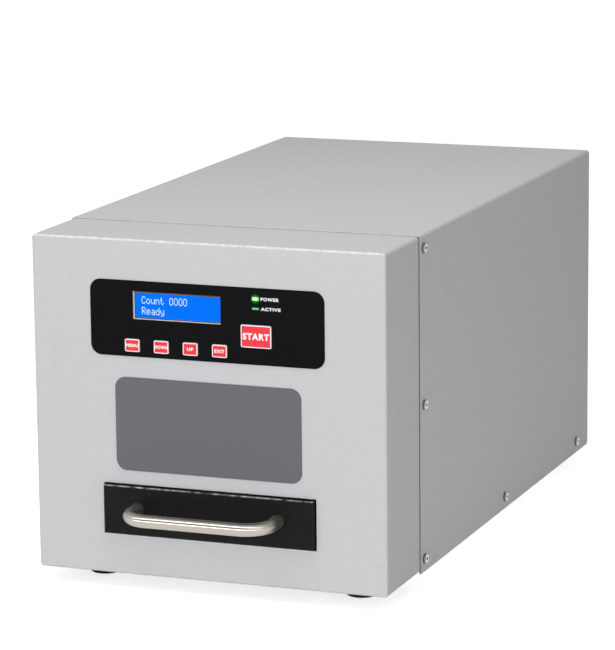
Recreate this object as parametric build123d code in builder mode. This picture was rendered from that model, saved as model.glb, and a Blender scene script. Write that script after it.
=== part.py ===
"""Hard drive degausser: a steel desktop case with a drawer that carries a drive into a pulse coil.

The front faces -Y, +X is the right-hand side and +Z is up. The origin is the middle of the
bottom of the whole machine, on the surface that its feet stand on. All sizes are millimetres.
"""
import os
from math import cos, radians, sin

from build123d import *

# Case panels
case_width = 265.2  # front cover, side to side
case_height = 242.6  # front cover, bottom edge to top
case_depth = 493.0  # front face to the rear edge of the wrap cover
front_depth = 68.5  # front cover, face to seam
sheet = 1.5  # steel sheet of every panel
bend_radius = 2.5  # outside radius of every long fold
front_edge_radius = 1.6  # outside radius round the front face
seam_gap = 1.2  # open seam between front cover and wrap cover
wrap_proud = 0.8  # wrap cover stands this far outside the front cover
wrap_drop = 1.0  # wrap cover hangs this far below the front cover
tuck_depth = 22.0  # front cover's flange that tucks under the wrap cover
tuck_lap = 3.0  # overlap where that flange is set inwards
rear_lip = 13.0  # lip that the wrap cover turns in at the back
rear_corner_radius = 3.0  # lower rear corners of the wrap cover's sides
pan_flange = 25.0  # upturned edges of the base pan
pan_bend = 2.0  # outside radius of the base pan's long folds
tongue_inset = 14.0  # from the front cover's sides to the base pan's tongue
tongue_front = 4.0  # from the front panel's back to the tongue
tongue_lap = 9.0  # where the tongue steps up over the pan's floor
fit_gap = 0.3  # between panels that nest

# Feet
foot_height = 11.0
foot_diameter = 25.0
foot_taper = 1.5  # the foot's sole is this much smaller in radius
foot_edge = 1.0
foot_inset_x = 33.6  # from the side of the front cover to a foot's centre
foot_inset_front = 41.0  # from the front face to a front foot's centre
foot_inset_rear = 41.0  # from the rear edge to a rear foot's centre
foot_recess_depth = 5.0

# Pan head screws
screw_head = 7.6
screw_rise = 2.1
screw_shank = 4.0
screw_length = 8.0
screw_crown = 0.9  # height of the head's rounded shoulder
recess_depth = 1.2
recess_width = 1.1
recess_span = 4.2
hole_slack = 0.25  # clearance hole, on the radius
thread_slack = 0.05  # tapped hole, on the radius
cover_screw_setback = 7.2  # from the wrap cover's front edge to its first screws
cover_screw_heights = (8.7, 121.2, 233.6)  # above the case's bottom edge
low_screw_rise = 8.5  # lower row, above the case's bottom edge
low_screw_places = (266.5, 459.0)  # from the front face

# Control panel, heights from the case's bottom edge, sideways from the middle
overlay_width = 176.0
overlay_height = 54.4
overlay_corner = 8.0
overlay_thickness = 0.5
overlay_rise = 159.0  # lower edge of the overlay
window_width = 66.4
window_height = 20.0
window_x = -22.2
window_rise = 27.0  # lower edge, above the overlay's lower edge
key_width = 11.2
key_height = 9.1
key_pitch = 22.05
key_first_x = -56.25
key_rise = 8.1  # centre, above the overlay's lower edge
start_width = 22.7
start_height = 16.0
start_x = 37.4
start_rise = 20.1
key_corner = 1.2
key_proud = 0.6
key_gap = 0.2
key_travel = 0.5
key_flange = 1.0
key_stem = 3.2
key_engage = 0.8  # how far a released stem sits in its switch
lamp_width = 5.0
lamp_x = 37.1
power_lamp_height = 2.6
power_lamp_rise = 46.7
active_lamp_height = 1.4
active_lamp_rise = 39.8
lamp_proud = 0.2
lamp_gap = 0.1
lamp_corner = 0.5

# Display and boards behind the front panel
bezel_depth = 2.2
bezel_margin = 5.0
glass_depth = 2.0
glass_margin = 2.0
board = 1.6  # thickness of every circuit board
display_board_margin = 8.0
control_board_width = 160.0
control_board_height = 50.0
control_board_setback = 14.0  # from the front panel's back to the board
standoff_diameter = 6.0
standoff_inset = 5.0
switch_side = 7.0
switch_depth = 7.0
switch_slack = 0.3

# Name plate
plate_width = 140.5
plate_height = 67.7
plate_corner = 8.0
plate_thickness = 0.5
plate_rise = 76.3

# Drawer and handle
drawer_width = 159.4
drawer_height = 35.6
drawer_thickness = 12.0
drawer_proud = 4.0
drawer_rise = 29.9
drawer_gap = 0.8
drawer_edge = 0.8
handle_rod = 9.5
handle_spacing = 106.0
handle_projection = 29.0  # drawer face to the middle of the bar
handle_bend = 18.0
handle_offset = 1.5  # above the middle of the drawer front
handle_thread = 9.0  # how far each screw reaches into the rod
thread_room = 1.0  # tapped hole past the end of its screw
media_length = 147.0  # standard 3.5 inch drive
media_width = 101.6
media_height = 26.1
media_room = 1.5  # round the drive on each side
tray_wall = 2.5
tray_front_wall = 4.0
tray_floor = 3.0
tray_rim = 0.9  # tray wall above the drive
tray_tail = 60.0  # runners that stay in the coil when the drawer is out
tail_height = 12.0
tray_corner = 3.0
thumb_notch = 13.0  # radius of the notch for lifting the drive out
tray_screw_spread = 7.0  # from each handle screw outwards to a tray screw
runner_thickness = 2.0
runner_width = 12.0
runner_height = 12.0
slide_gap = 0.3

# Coil
coil_setback = 4.0  # from the drawer front's back to the coil's front cheek
coil_length = 138.0
former_wall = 3.0
former_headroom = 1.7
cheek_thickness = 4.0
cheek_margin = 2.0
winding_thickness = 14.0
winding_corner = 12.0
coil_foot_x = 78.0
coil_foot_width = 24.0
coil_foot_depth = 14.0
coil_foot_height = 8.0
sensor_width = 13.0
sensor_depth = 10.0
sensor_height = 16.0
sensor_arm = 9.0
sensor_slot_gap = 1.0

# Capacitor bank
bank_room = 23.0  # from the base pan's sides to the bank
capacitor_gap = 7.0  # between neighbouring cans
capacitor_height = 135.0
capacitor_edge = 4.0
capacitor_columns = 3
capacitor_rows = 2
capacitor_setback = 10.0  # behind the drawer's tails
cradle_height = 10.0
cradle_gap = 0.3
terminal_diameter = 12.0
terminal_height = 6.0
terminal_offset = 14.0
bar_width = 16.0
bar_thickness = 3.0

# Charger and switching parts
shelf_room = 3.0  # from the coil's cheeks to the shelf's legs
shelf_headroom = 5.5  # from the coil's cheeks to the shelf
shelf_start = 85.0  # from the front face
shelf_length = 95.0
shelf_foot = 10.0
charger_board_width = 150.0
charger_board_x = -20.0
charger_board_length = 80.0
charger_standoff = 8.0
choke_diameter = 34.0
choke_bore = 14.0
choke_height = 18.0
choke_x = -45.0
relay_width = 28.0
relay_depth = 20.0
relay_height = 22.0
relay_pitch = 36.0
relay_x = 32.0
transformer_room = 27.5  # from the base pan's left side to the transformer
transformer_width = 84.0
transformer_height = 70.0
transformer_depth = 42.0
core_leg = 14.0
winding_bulge = 12.0
winding_gap = 0.3
rear_block_setback = 10.0  # behind the capacitor bank
sink_room = 31.5  # from the heat sink to the base pan's right side
sink_width = 70.0
sink_length = 70.0
sink_base = 8.0
sink_height = 40.0
fin_thickness = 3.0
fin_count = 9
module_width = 34.0
module_length = 60.0
module_height = 24.0
module_terminal = 9.0
module_terminal_height = 5.0
module_terminal_pitch = 20.0
resistor_width = 26.0
resistor_length = 48.0
resistor_height = 14.0
resistor_x = 80.0
resistor_body = 18.0
resistor_fin = 2.0

# Fan
fan_side = 80.0
fan_depth = 25.0
fan_wall = 2.0  # thinnest wall between the bore and the frame's side
fan_hole_inset = 4.25  # from the frame's side to a hole's centre
fan_corner = 4.0
fan_inset = 72.0  # from the left side of the case to the fan's middle
fan_rise = 150.0
fan_hub = 34.0
fan_web = 4.0
fan_strut = 4.0
blade_count = 7
blade_thickness = 1.6
blade_chord = 18.0
blade_angle = 38.0
blade_tip_gap = 1.0
rotor_end_gap = 1.0
shaft_diameter = 4.0
shaft_slack = 0.1
guard_thickness = 1.5
guard_wire = 2.0
guard_ring_count = 5
guard_ring_inner = 13.0  # radius of the smallest ring
guard_spoke = 3.0
guard_ear = 4.6
fan_screw_length = 12.0

# Mains inlet with its rocker switch
inlet_inset = 66.0  # from the right side of the case to the inlet's middle
inlet_rise = 150.0
inlet_width = 64.0
inlet_height = 34.0
inlet_corner = 3.0
inlet_rim = 5.0
inlet_body_width = 54.0
inlet_body_height = 28.0
inlet_body_depth = 28.0
inlet_body_gap = 0.3
socket_width = 24.5
socket_height = 17.0
socket_depth = 18.0
socket_x = -12.5
socket_chamfer = 4.5
pin_width = 2.0
pin_height = 4.0
pin_reach = 15.0
pin_pitch = 7.0
pin_offset = 2.0
rocker_x = 16.5
rocker_width = 12.4
rocker_height = 20.6
rocker_gap = 0.5
rocker_end_gap = 1.0
rocker_well_depth = 12.0
rocker_pivot_depth = 5.5
rocker_tilt = 8.0
rocker_thickness = 4.0
rocker_skirt = 1.0
rocker_dip = 1.4
rocker_heel = 3.2
rocker_axle = 2.4
rocker_axle_reach = 1.2
axle_slack = 0.1

# Rear panel fastenings
lip_screw_heights = (60.0, 195.0)
lip_screw_x = 60.0
pan_screw_x = 70.0
pan_screw_rise = 14.0
vent_length = 40.0
vent_width = 5.0
vent_pitch = 12.0
vent_count = 7
vent_setback = 60.0  # from the rear panel to the vents' middle

# Stations worked out from the sizes above
case_z = foot_height
case_top = case_z + case_height
pan_top = case_z + sheet
tongue_top = pan_top + sheet
handle_reach = drawer_proud + handle_projection + handle_rod / 2
rear_reach = inlet_rim - sheet
front_y = (handle_reach - case_depth - rear_reach) / 2
panel_back = front_y + sheet
seam_y = front_y + front_depth
wrap_y = seam_y + seam_gap
rear_y = front_y + case_depth
rear_face = rear_y - sheet
rear_inner = rear_face - sheet
wrap_half = case_width / 2 + wrap_proud
wrap_top = case_top + wrap_proud
wrap_bottom = case_z - wrap_drop
fold_hollow = bend_radius - sheet
nest_half = wrap_half - sheet - fit_gap
nest_top = wrap_top - sheet - fit_gap
pan_y = seam_y + fit_gap
pan_flange_y = seam_y + tuck_depth + seam_gap
pan_rear_flange_y = rear_inner - sheet
pan_inner_half = nest_half - sheet
tongue_width = case_width - 2 * tongue_inset
overlay_z = case_z + overlay_rise
overlay_front = front_y - overlay_thickness
window_z = overlay_z + window_rise + window_height / 2
control_board_y = panel_back + control_board_setback
drawer_z = case_z + drawer_rise + drawer_height / 2
drawer_face = front_y - drawer_proud
drawer_back = drawer_face + drawer_thickness
fan_bore = fan_side - 2 * fan_wall
fan_hole_spacing = fan_side - 2 * fan_hole_inset
guard_ring_step = (fan_side / 2 - guard_ring_inner) / (guard_ring_count - 1)
guard_ring_radii = [guard_ring_inner + ring * guard_ring_step for ring in range(guard_ring_count)]
handle_z = drawer_z + handle_offset
tray_screw_spacing = handle_spacing + 2 * tray_screw_spread
tray_height = tray_floor + media_height + tray_rim
tray_z = drawer_z - tray_height / 2
cavity_width = media_length + 2 * media_room
cavity_length = media_width + 2 * media_room
tray_width = cavity_width + 2 * tray_wall
cavity_y = drawer_back + tray_front_wall
tray_rear = cavity_y + cavity_length + tray_wall
tail_end = tray_rear + tray_tail
bore_half = tray_width / 2 + slide_gap + runner_thickness
bore_bottom = tray_z - slide_gap - runner_thickness
bore_top = tray_z + tray_height + former_headroom
coil_y = drawer_back + coil_setback
coil_rear = coil_y + coil_length
winding_half = bore_half + former_wall + winding_thickness
winding_bottom = bore_bottom - former_wall - winding_thickness
winding_top = bore_top + former_wall + winding_thickness
capacitor_pitch = 2 * (pan_inner_half - bank_room) / capacitor_columns
capacitor_diameter = capacitor_pitch - capacitor_gap
capacitor_y = tail_end + capacitor_setback + capacitor_diameter / 2
capacitor_mid_y = capacitor_y + (capacitor_rows - 1) * capacitor_pitch / 2
bank_rear = capacitor_mid_y + capacitor_rows * capacitor_pitch / 2
rear_block_y = bank_rear + rear_block_setback
transformer_x = transformer_room + transformer_width / 2 - pan_inner_half
sink_x = pan_inner_half - sink_room - sink_width / 2
cheek_half = winding_half + cheek_margin
cheek_top = winding_top + cheek_margin
shelf_half = cheek_half + shelf_room + sheet
shelf_z = cheek_top + shelf_headroom + sheet
shelf_mid_y = front_y + shelf_start + shelf_length / 2
charger_z = shelf_z + charger_standoff
fan_x = fan_inset - case_width / 2
fan_z = case_z + fan_rise
inlet_x = case_width / 2 - inlet_inset
inlet_z = case_z + inlet_rise
clear_hole = screw_shank / 2 + hole_slack
tapped_hole = screw_shank / 2 + thread_slack


def facing_front(y):
    """Upright plane across the machine, seen from the front: local x is X and local y is Z."""
    return Plane.XZ.offset(-y)


def facing_right(x):
    """Upright plane along the machine: local x is Y and local y is Z."""
    return Plane.YZ.offset(x)


def level(z):
    """Level plane at height z."""
    return Plane.XY.offset(z)


def arch(y, half_width, bottom, top, radius):
    """Upright rectangle whose two upper corners are rounded."""
    with BuildSketch(facing_front(y)) as outline:
        with Locations((0, bottom)):
            Rectangle(2 * half_width, top - bottom, align=(Align.CENTER, Align.MIN))
        fillet(outline.vertices().group_by(Axis.Y)[-1], radius)
    return outline.sketch


def pan_head_screw(length):
    """Pan head screw with a cross recess; its head stands on z = 0 and its shank points down."""
    with BuildPart() as screw:
        with BuildSketch(Plane.XZ):
            with BuildLine():
                Polyline(
                    (0, screw_rise),
                    (screw_head / 2 - screw_crown, screw_rise),
                    (screw_head / 2, screw_rise - screw_crown),
                    (screw_head / 2, 0),
                    (screw_shank / 2, 0),
                    (screw_shank / 2, -length),
                    (0, -length),
                    close=True,
                )
            make_face()
        revolve(axis=Axis.Z)
        with BuildSketch(level(screw_rise)):
            Rectangle(recess_span, recess_width)
            Rectangle(recess_width, recess_span)
        extrude(amount=-recess_depth, mode=Mode.SUBTRACT)
    return screw.part


def on_side(side, y, z):
    """Seat for a screw on the wrap cover's right (+1) or left (-1) side."""
    return Plane(origin=(side * wrap_half, y, z), x_dir=(0, 1, 0), z_dir=(side, 0, 0))


def on_rear(x, y, z):
    """Seat for a screw whose head faces the back."""
    return Plane(origin=(x, y, z), x_dir=(1, 0, 0), z_dir=(0, 1, 0))


def underneath(x, y, z):
    """Seat for a screw whose head faces down."""
    return Plane(origin=(x, y, z), x_dir=(1, 0, 0), z_dir=(0, 0, -1))


# Places that several pieces share
front_edge_places = [(wrap_y + cover_screw_setback, case_z + rise) for rise in cover_screw_heights]
low_edge_places = [(front_y + depth, case_z + low_screw_rise) for depth in low_screw_places]
foot_x = case_width / 2 - foot_inset_x
front_foot_y = front_y + foot_inset_front
rear_foot_y = rear_y - foot_inset_rear
front_foot_places = [(-foot_x, front_foot_y), (foot_x, front_foot_y)]
rear_foot_places = [(-foot_x, rear_foot_y), (foot_x, rear_foot_y)]
foot_places = front_foot_places + rear_foot_places
front_coil_y = coil_y + cheek_thickness / 2 + coil_foot_depth / 2
rear_coil_y = coil_rear - cheek_thickness / 2 - coil_foot_depth / 2
front_coil_places = [(-coil_foot_x, front_coil_y), (coil_foot_x, front_coil_y)]
rear_coil_places = [(-coil_foot_x, rear_coil_y), (coil_foot_x, rear_coil_y)]
small_key_names = ("key_menu", "key_down", "key_up", "key_exit")
key_specs = {
    name: (key_first_x + index * key_pitch, overlay_z + key_rise, key_width, key_height)
    for index, name in enumerate(small_key_names)
}
key_specs["key_start"] = (start_x, overlay_z + start_rise, start_width, start_height)
lamp_specs = {
    "power_lamp": (overlay_z + power_lamp_rise, power_lamp_height),
    "active_lamp": (overlay_z + active_lamp_rise, active_lamp_height),
}
capacitor_places = GridLocations(capacitor_pitch, capacitor_pitch, capacitor_columns, capacitor_rows)
lip_mid = wrap_half - rear_lip / 2 - sheet / 2
lip_screw_places = [(side * lip_mid, case_z + rise) for side in (-1, 1) for rise in lip_screw_heights]
lip_screw_places += [(side * lip_screw_x, wrap_top - rear_lip / 2 - sheet / 2) for side in (-1, 1)]
pan_screw_places = [(side * pan_screw_x, pan_top + pan_screw_rise) for side in (-1, 1)]
fan_corners = [
    (fan_x + side * fan_hole_spacing / 2, fan_z + rise * fan_hole_spacing / 2)
    for side in (-1, 1)
    for rise in (-1, 1)
]
tray_screw_places = [(-tray_screw_spacing / 2, drawer_z), (tray_screw_spacing / 2, drawer_z)]
handle_places = [(-handle_spacing / 2, handle_z), (handle_spacing / 2, handle_z)]


def control_windows():
    """Sketch the window, key and lamp openings that pass through the overlay and the front panel."""
    with Locations((window_x, window_z)):
        Rectangle(window_width, window_height)
    for x, z, width, height in key_specs.values():
        with Locations((x, z)):
            RectangleRounded(width + 2 * key_gap, height + 2 * key_gap, key_corner + key_gap)
    for z, height in lamp_specs.values():
        with Locations((lamp_x, z)):
            Rectangle(lamp_width + 2 * lamp_gap, height + 2 * lamp_gap)


# Front cover: a folded box with the panel cut-outs, and a set-in flange that tucks under the wrap
tuck_y = seam_y - tuck_lap
tuck_outline = arch(tuck_y, nest_half, pan_top + fit_gap, nest_top, bend_radius)
tuck_hollow = arch(tuck_y, nest_half - sheet, pan_top, nest_top - sheet, fold_hollow)
with BuildPart() as front_cover:
    with BuildSketch(facing_front(front_y)):
        with Locations((0, case_z + case_height / 2)):
            RectangleRounded(case_width, case_height, bend_radius)
    extrude(amount=-front_depth)
    fillet(front_cover.faces().sort_by(Axis.Y)[0].edges(), front_edge_radius)
    with BuildSketch(facing_front(panel_back)):
        with Locations((0, case_z + case_height / 2)):
            RectangleRounded(case_width - 2 * sheet, case_height - 2 * sheet, fold_hollow)
    extrude(amount=-front_depth, mode=Mode.SUBTRACT)
    extrude(tuck_outline, amount=-(tuck_lap + tuck_depth))
    extrude(tuck_hollow, amount=-(tuck_lap + tuck_depth), mode=Mode.SUBTRACT)
    with BuildSketch(facing_front(front_y)):
        control_windows()
        with Locations((0, drawer_z)):
            Rectangle(drawer_width + 2 * drawer_gap, drawer_height + 2 * drawer_gap)
    extrude(amount=-sheet, mode=Mode.SUBTRACT)
    with BuildSketch(facing_right(0)):
        with Locations(*front_edge_places):
            Circle(tapped_hole)
    extrude(amount=case_width, both=True, mode=Mode.SUBTRACT)
    with BuildSketch(level(case_z)):
        with Locations(*front_foot_places, *front_coil_places):
            Circle(clear_hole)
    extrude(amount=sheet, mode=Mode.SUBTRACT)

# Wrap cover: top and both sides in one sheet, turned in round the back
wrap_outline = arch(wrap_y, wrap_half, wrap_bottom, wrap_top, bend_radius)
wrap_hollow = arch(wrap_y, wrap_half - sheet, wrap_bottom, wrap_top - sheet, fold_hollow)
with BuildPart() as wrap_cover:
    extrude(wrap_outline, amount=-(rear_y - wrap_y))
    extrude(wrap_hollow, amount=-(rear_face - wrap_y), mode=Mode.SUBTRACT)
    with BuildSketch(facing_front(rear_face)):
        with Locations((0, wrap_bottom)):
            Rectangle(
                2 * (wrap_half - rear_lip),
                wrap_top - rear_lip - wrap_bottom,
                align=(Align.CENTER, Align.MIN),
            )
            Rectangle(2 * (wrap_half - sheet), pan_flange, align=(Align.CENTER, Align.MIN))
    extrude(amount=-sheet, mode=Mode.SUBTRACT)
    low_edges = wrap_cover.edges().filter_by(Axis.X).group_by(Axis.Z)[0]
    fillet(low_edges.group_by(Axis.Y)[-1], rear_corner_radius)
    with BuildSketch(facing_right(0)):
        with Locations(*front_edge_places, *low_edge_places):
            Circle(clear_hole)
    extrude(amount=case_width, both=True, mode=Mode.SUBTRACT)
    with BuildSketch(facing_front(rear_face)):
        with Locations(*lip_screw_places):
            Circle(clear_hole)
    extrude(amount=-sheet, mode=Mode.SUBTRACT)

# Base pan: a floor with upturned sides and back, and a stepped tongue under the coil
with BuildPart() as base_pan:
    with BuildSketch(level(case_z)):
        with Locations((0, pan_y)):
            Rectangle(2 * pan_inner_half, rear_face - pan_y, align=(Align.CENTER, Align.MIN))
    extrude(amount=sheet)
    with BuildSketch(level(case_z)):
        with Locations((0, pan_flange_y)):
            Rectangle(2 * nest_half, rear_inner - pan_flange_y, align=(Align.CENTER, Align.MIN))
    extrude(amount=pan_flange)
    long_edges = base_pan.edges().filter_by(Axis.Y).group_by(Axis.Z)[0].sort_by(Axis.X)
    fillet([long_edges[0], long_edges[-1]], pan_bend)
    with BuildSketch(level(pan_top)):
        with Locations((0, pan_flange_y)):
            Rectangle(
                2 * pan_inner_half,
                pan_rear_flange_y - pan_flange_y,
                align=(Align.CENTER, Align.MIN),
            )
    extrude(amount=pan_flange, mode=Mode.SUBTRACT)
    with BuildSketch(level(pan_top)):
        with Locations((0, panel_back + tongue_front)):
            Rectangle(
                tongue_width,
                pan_y + tongue_lap - panel_back - tongue_front,
                align=(Align.CENTER, Align.MIN),
            )
    extrude(amount=sheet)
    with BuildSketch(facing_right(0)):
        with Locations(*low_edge_places):
            Circle(tapped_hole)
    extrude(amount=case_width, both=True, mode=Mode.SUBTRACT)
    with BuildSketch(facing_front(pan_rear_flange_y)):
        with Locations(*pan_screw_places):
            Circle(tapped_hole)
    extrude(amount=-sheet, mode=Mode.SUBTRACT)
    with BuildSketch(level(case_z)):
        with Locations(*foot_places):
            Circle(tapped_hole)
        with Locations(*front_coil_places, *rear_coil_places):
            Circle(clear_hole)
        with Locations((0, rear_inner - vent_setback)):
            with GridLocations(vent_pitch, 0, vent_count, 1):
                SlotOverall(vent_length, vent_width, rotation=90)
    extrude(amount=2 * sheet, mode=Mode.SUBTRACT)

# Rear panel: carries the fan and the mains inlet, and is held by the wrap cover's lip
rear_outline = arch(rear_inner, nest_half, pan_top, nest_top, bend_radius)
with BuildPart() as rear_panel:
    extrude(rear_outline, amount=-sheet)
    with BuildSketch(facing_front(rear_inner)):
        with Locations((fan_x, fan_z)):
            Circle(fan_bore / 2)
        with Locations((inlet_x, inlet_z)):
            Rectangle(inlet_body_width + 2 * inlet_body_gap, inlet_body_height + 2 * inlet_body_gap)
        with Locations(*lip_screw_places):
            Circle(tapped_hole)
        with Locations(*fan_corners, *pan_screw_places):
            Circle(clear_hole)
    extrude(amount=-sheet, mode=Mode.SUBTRACT)

# Case screws, one solid at each place
case_screw = pan_head_screw(screw_length)
edge_places = front_edge_places + low_edge_places
cover_screw_seats = [on_side(side, y, z) for side in (-1, 1) for y, z in edge_places]
with BuildPart() as cover_screws:
    with Locations(*cover_screw_seats):
        add(case_screw)
with BuildPart() as rear_screws:
    with Locations(*[on_rear(x, rear_y, z) for x, z in lip_screw_places]):
        add(case_screw)
    with Locations(*[on_rear(x, rear_face, z) for x, z in pan_screw_places]):
        add(case_screw)
with BuildPart() as coil_screws:
    with Locations(*[underneath(x, y, case_z) for x, y in front_coil_places + rear_coil_places]):
        add(case_screw)

# Rubber feet: turned pads, recessed for the screws that hold them
sole_z = case_z - foot_height
with BuildPart() as rubber_feet:
    with Locations(*[(x, y, case_z) for x, y in foot_places]):
        Cone(
            foot_diameter / 2 - foot_taper,
            foot_diameter / 2,
            foot_height,
            align=(Align.CENTER, Align.CENTER, Align.MAX),
        )
    fillet(rubber_feet.edges().filter_by(GeomType.CIRCLE).group_by(Axis.Z)[0], foot_edge)
    with BuildSketch(level(sole_z)):
        with Locations(*foot_places):
            Circle(screw_head / 2 + hole_slack)
    extrude(amount=foot_recess_depth, mode=Mode.SUBTRACT)
    with BuildSketch(level(sole_z)):
        with Locations(*foot_places):
            Circle(clear_hole)
    extrude(amount=foot_height, mode=Mode.SUBTRACT)
with BuildPart() as foot_screws:
    with Locations(*[underneath(x, y, sole_z + foot_recess_depth) for x, y in foot_places]):
        add(case_screw)

# Control overlay and name plate: thin skins on the front panel
with BuildPart() as control_overlay:
    with BuildSketch(facing_front(front_y)):
        with Locations((0, overlay_z + overlay_height / 2)):
            RectangleRounded(overlay_width, overlay_height, overlay_corner)
    extrude(amount=overlay_thickness)
    with BuildSketch(facing_front(front_y)):
        control_windows()
    extrude(amount=overlay_thickness, mode=Mode.SUBTRACT)
with BuildPart() as name_plate:
    with BuildSketch(facing_front(front_y)):
        with Locations((0, case_z + plate_rise + plate_height / 2)):
            RectangleRounded(plate_width, plate_height, plate_corner)
    extrude(amount=plate_thickness)

# Display: a bezel against the panel's back, the glass in it, and the board that carries both
glass_y = panel_back + bezel_depth
bezel_width = window_width + 2 * bezel_margin
bezel_height = window_height + 2 * bezel_margin
glass_width = window_width + 2 * glass_margin
glass_height = window_height + 2 * glass_margin
display_board_y = glass_y + glass_depth
with BuildPart() as display_bezel:
    with BuildSketch(facing_front(panel_back)):
        with Locations((window_x, window_z)):
            Rectangle(bezel_width, bezel_height)
            Rectangle(window_width, window_height, mode=Mode.SUBTRACT)
    extrude(amount=-bezel_depth)
    with BuildSketch(facing_front(glass_y)):
        with Locations((window_x, window_z)):
            Rectangle(bezel_width, bezel_height)
            Rectangle(glass_width + 2 * fit_gap, glass_height + 2 * fit_gap, mode=Mode.SUBTRACT)
    extrude(amount=-glass_depth)
with BuildPart() as display_glass:
    with BuildSketch(facing_front(glass_y)):
        with Locations((window_x, window_z)):
            Rectangle(glass_width, glass_height)
    extrude(amount=-glass_depth)
with BuildPart() as display_board:
    with BuildSketch(facing_front(display_board_y)):
        with Locations((window_x, window_z)):
            Rectangle(window_width + 2 * display_board_margin, window_height + 2 * display_board_margin)
    extrude(amount=-board)

# Control board behind the panel, on studs from the panel, with one switch behind each key
board_mid = (0, overlay_z + overlay_height / 2)
stud_span = control_board_width - 2 * standoff_inset
stud_rise = control_board_height - 2 * standoff_inset
with BuildPart() as control_board:
    with BuildSketch(facing_front(control_board_y)):
        with Locations(board_mid):
            Rectangle(control_board_width, control_board_height)
    extrude(amount=-board)
with BuildPart() as board_standoffs:
    with BuildSketch(facing_front(panel_back)):
        with Locations(board_mid):
            with GridLocations(stud_span, stud_rise, 2, 2):
                Circle(standoff_diameter / 2)
    extrude(amount=-control_board_setback)
    with BuildSketch(facing_front(display_board_y + board)):
        with Locations((window_x, window_z)):
            with GridLocations(window_width, window_height, 2, 2):
                Circle(standoff_diameter / 2)
    extrude(amount=-(control_board_y - display_board_y - board))
switch_y = control_board_y - switch_depth
with BuildPart() as key_switches:
    with BuildSketch(facing_front(control_board_y)):
        with Locations(*[(x, z) for x, z, width, height in key_specs.values()]):
            Rectangle(switch_side, switch_side)
    extrude(amount=switch_depth)
    with BuildSketch(facing_front(switch_y)):
        with Locations(*[(x, z) for x, z, width, height in key_specs.values()]):
            Circle(key_stem / 2 + switch_slack)
    extrude(amount=-(key_engage + key_travel + switch_slack), mode=Mode.SUBTRACT)


def key_cap(x, z, width, height):
    """Key: a rounded cap through the panel, a flange that stops behind it, and a stem to its switch."""
    face = overlay_front - key_proud
    stop = panel_back + key_gap
    with BuildPart() as key:
        with BuildSketch(facing_front(face)):
            with Locations((x, z)):
                RectangleRounded(width, height, key_corner)
        extrude(amount=-(stop - face))
        fillet(key.faces().sort_by(Axis.Y)[0].edges(), key_proud / 2)
        with BuildSketch(facing_front(stop)):
            with Locations((x, z)):
                Rectangle(width + 2 * key_flange, height + 2 * key_flange)
        extrude(amount=-key_flange)
        with BuildSketch(facing_front(stop + key_flange)):
            with Locations((x, z)):
                Circle(key_stem / 2)
        extrude(amount=-(switch_y + key_engage - stop - key_flange))
    return key


def lamp_lens(z, height):
    """Rectangular indicator that stands on the control board and shows through the panel."""
    with BuildPart() as lamp:
        with BuildSketch(facing_front(overlay_front - lamp_proud)):
            with Locations((lamp_x, z)):
                RectangleRounded(lamp_width, height, lamp_corner)
        extrude(amount=-(control_board_y - overlay_front + lamp_proud))
    return lamp


keys = {name: key_cap(*spec) for name, spec in key_specs.items()}
lamps = {name: lamp_lens(*spec) for name, spec in lamp_specs.items()}

# Drawer front: a thick panel with counterbored holes for the handle's screws
with BuildPart() as drawer_front:
    with BuildSketch(facing_front(drawer_face)):
        with Locations((0, drawer_z)):
            Rectangle(drawer_width, drawer_height)
    extrude(amount=-drawer_thickness)
    chamfer(drawer_front.faces().sort_by(Axis.Y)[0].edges(), drawer_edge)
    with Locations(*[on_rear(x, drawer_back, z) for x, z in handle_places]):
        CounterBoreHole(clear_hole, screw_head / 2 + hole_slack, screw_rise + fit_gap)
    with BuildSketch(facing_front(drawer_back)):
        with Locations(*tray_screw_places):
            Circle(tapped_hole)
    extrude(amount=screw_length + thread_room, mode=Mode.SUBTRACT)

# Handle: one bent rod, tapped at both ends
bar_y = drawer_face - handle_projection
with BuildPart() as drawer_handle:
    with BuildLine() as rod_path:
        FilletPolyline(
            (-handle_spacing / 2, drawer_face, handle_z),
            (-handle_spacing / 2, bar_y, handle_z),
            (handle_spacing / 2, bar_y, handle_z),
            (handle_spacing / 2, drawer_face, handle_z),
            radius=handle_bend,
        )
    with BuildSketch(facing_front(drawer_face)):
        with Locations(handle_places[0]):
            Circle(handle_rod / 2)
    sweep()
    with BuildSketch(facing_front(drawer_face)):
        with Locations(*handle_places):
            Circle(tapped_hole)
    extrude(amount=handle_thread + thread_room, mode=Mode.SUBTRACT)
handle_seat = drawer_back - screw_rise - fit_gap
handle_screw = pan_head_screw(handle_seat - drawer_face + handle_thread)
with BuildPart() as handle_screws:
    with Locations(*[on_rear(x, handle_seat, z) for x, z in handle_places]):
        add(handle_screw)

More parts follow.
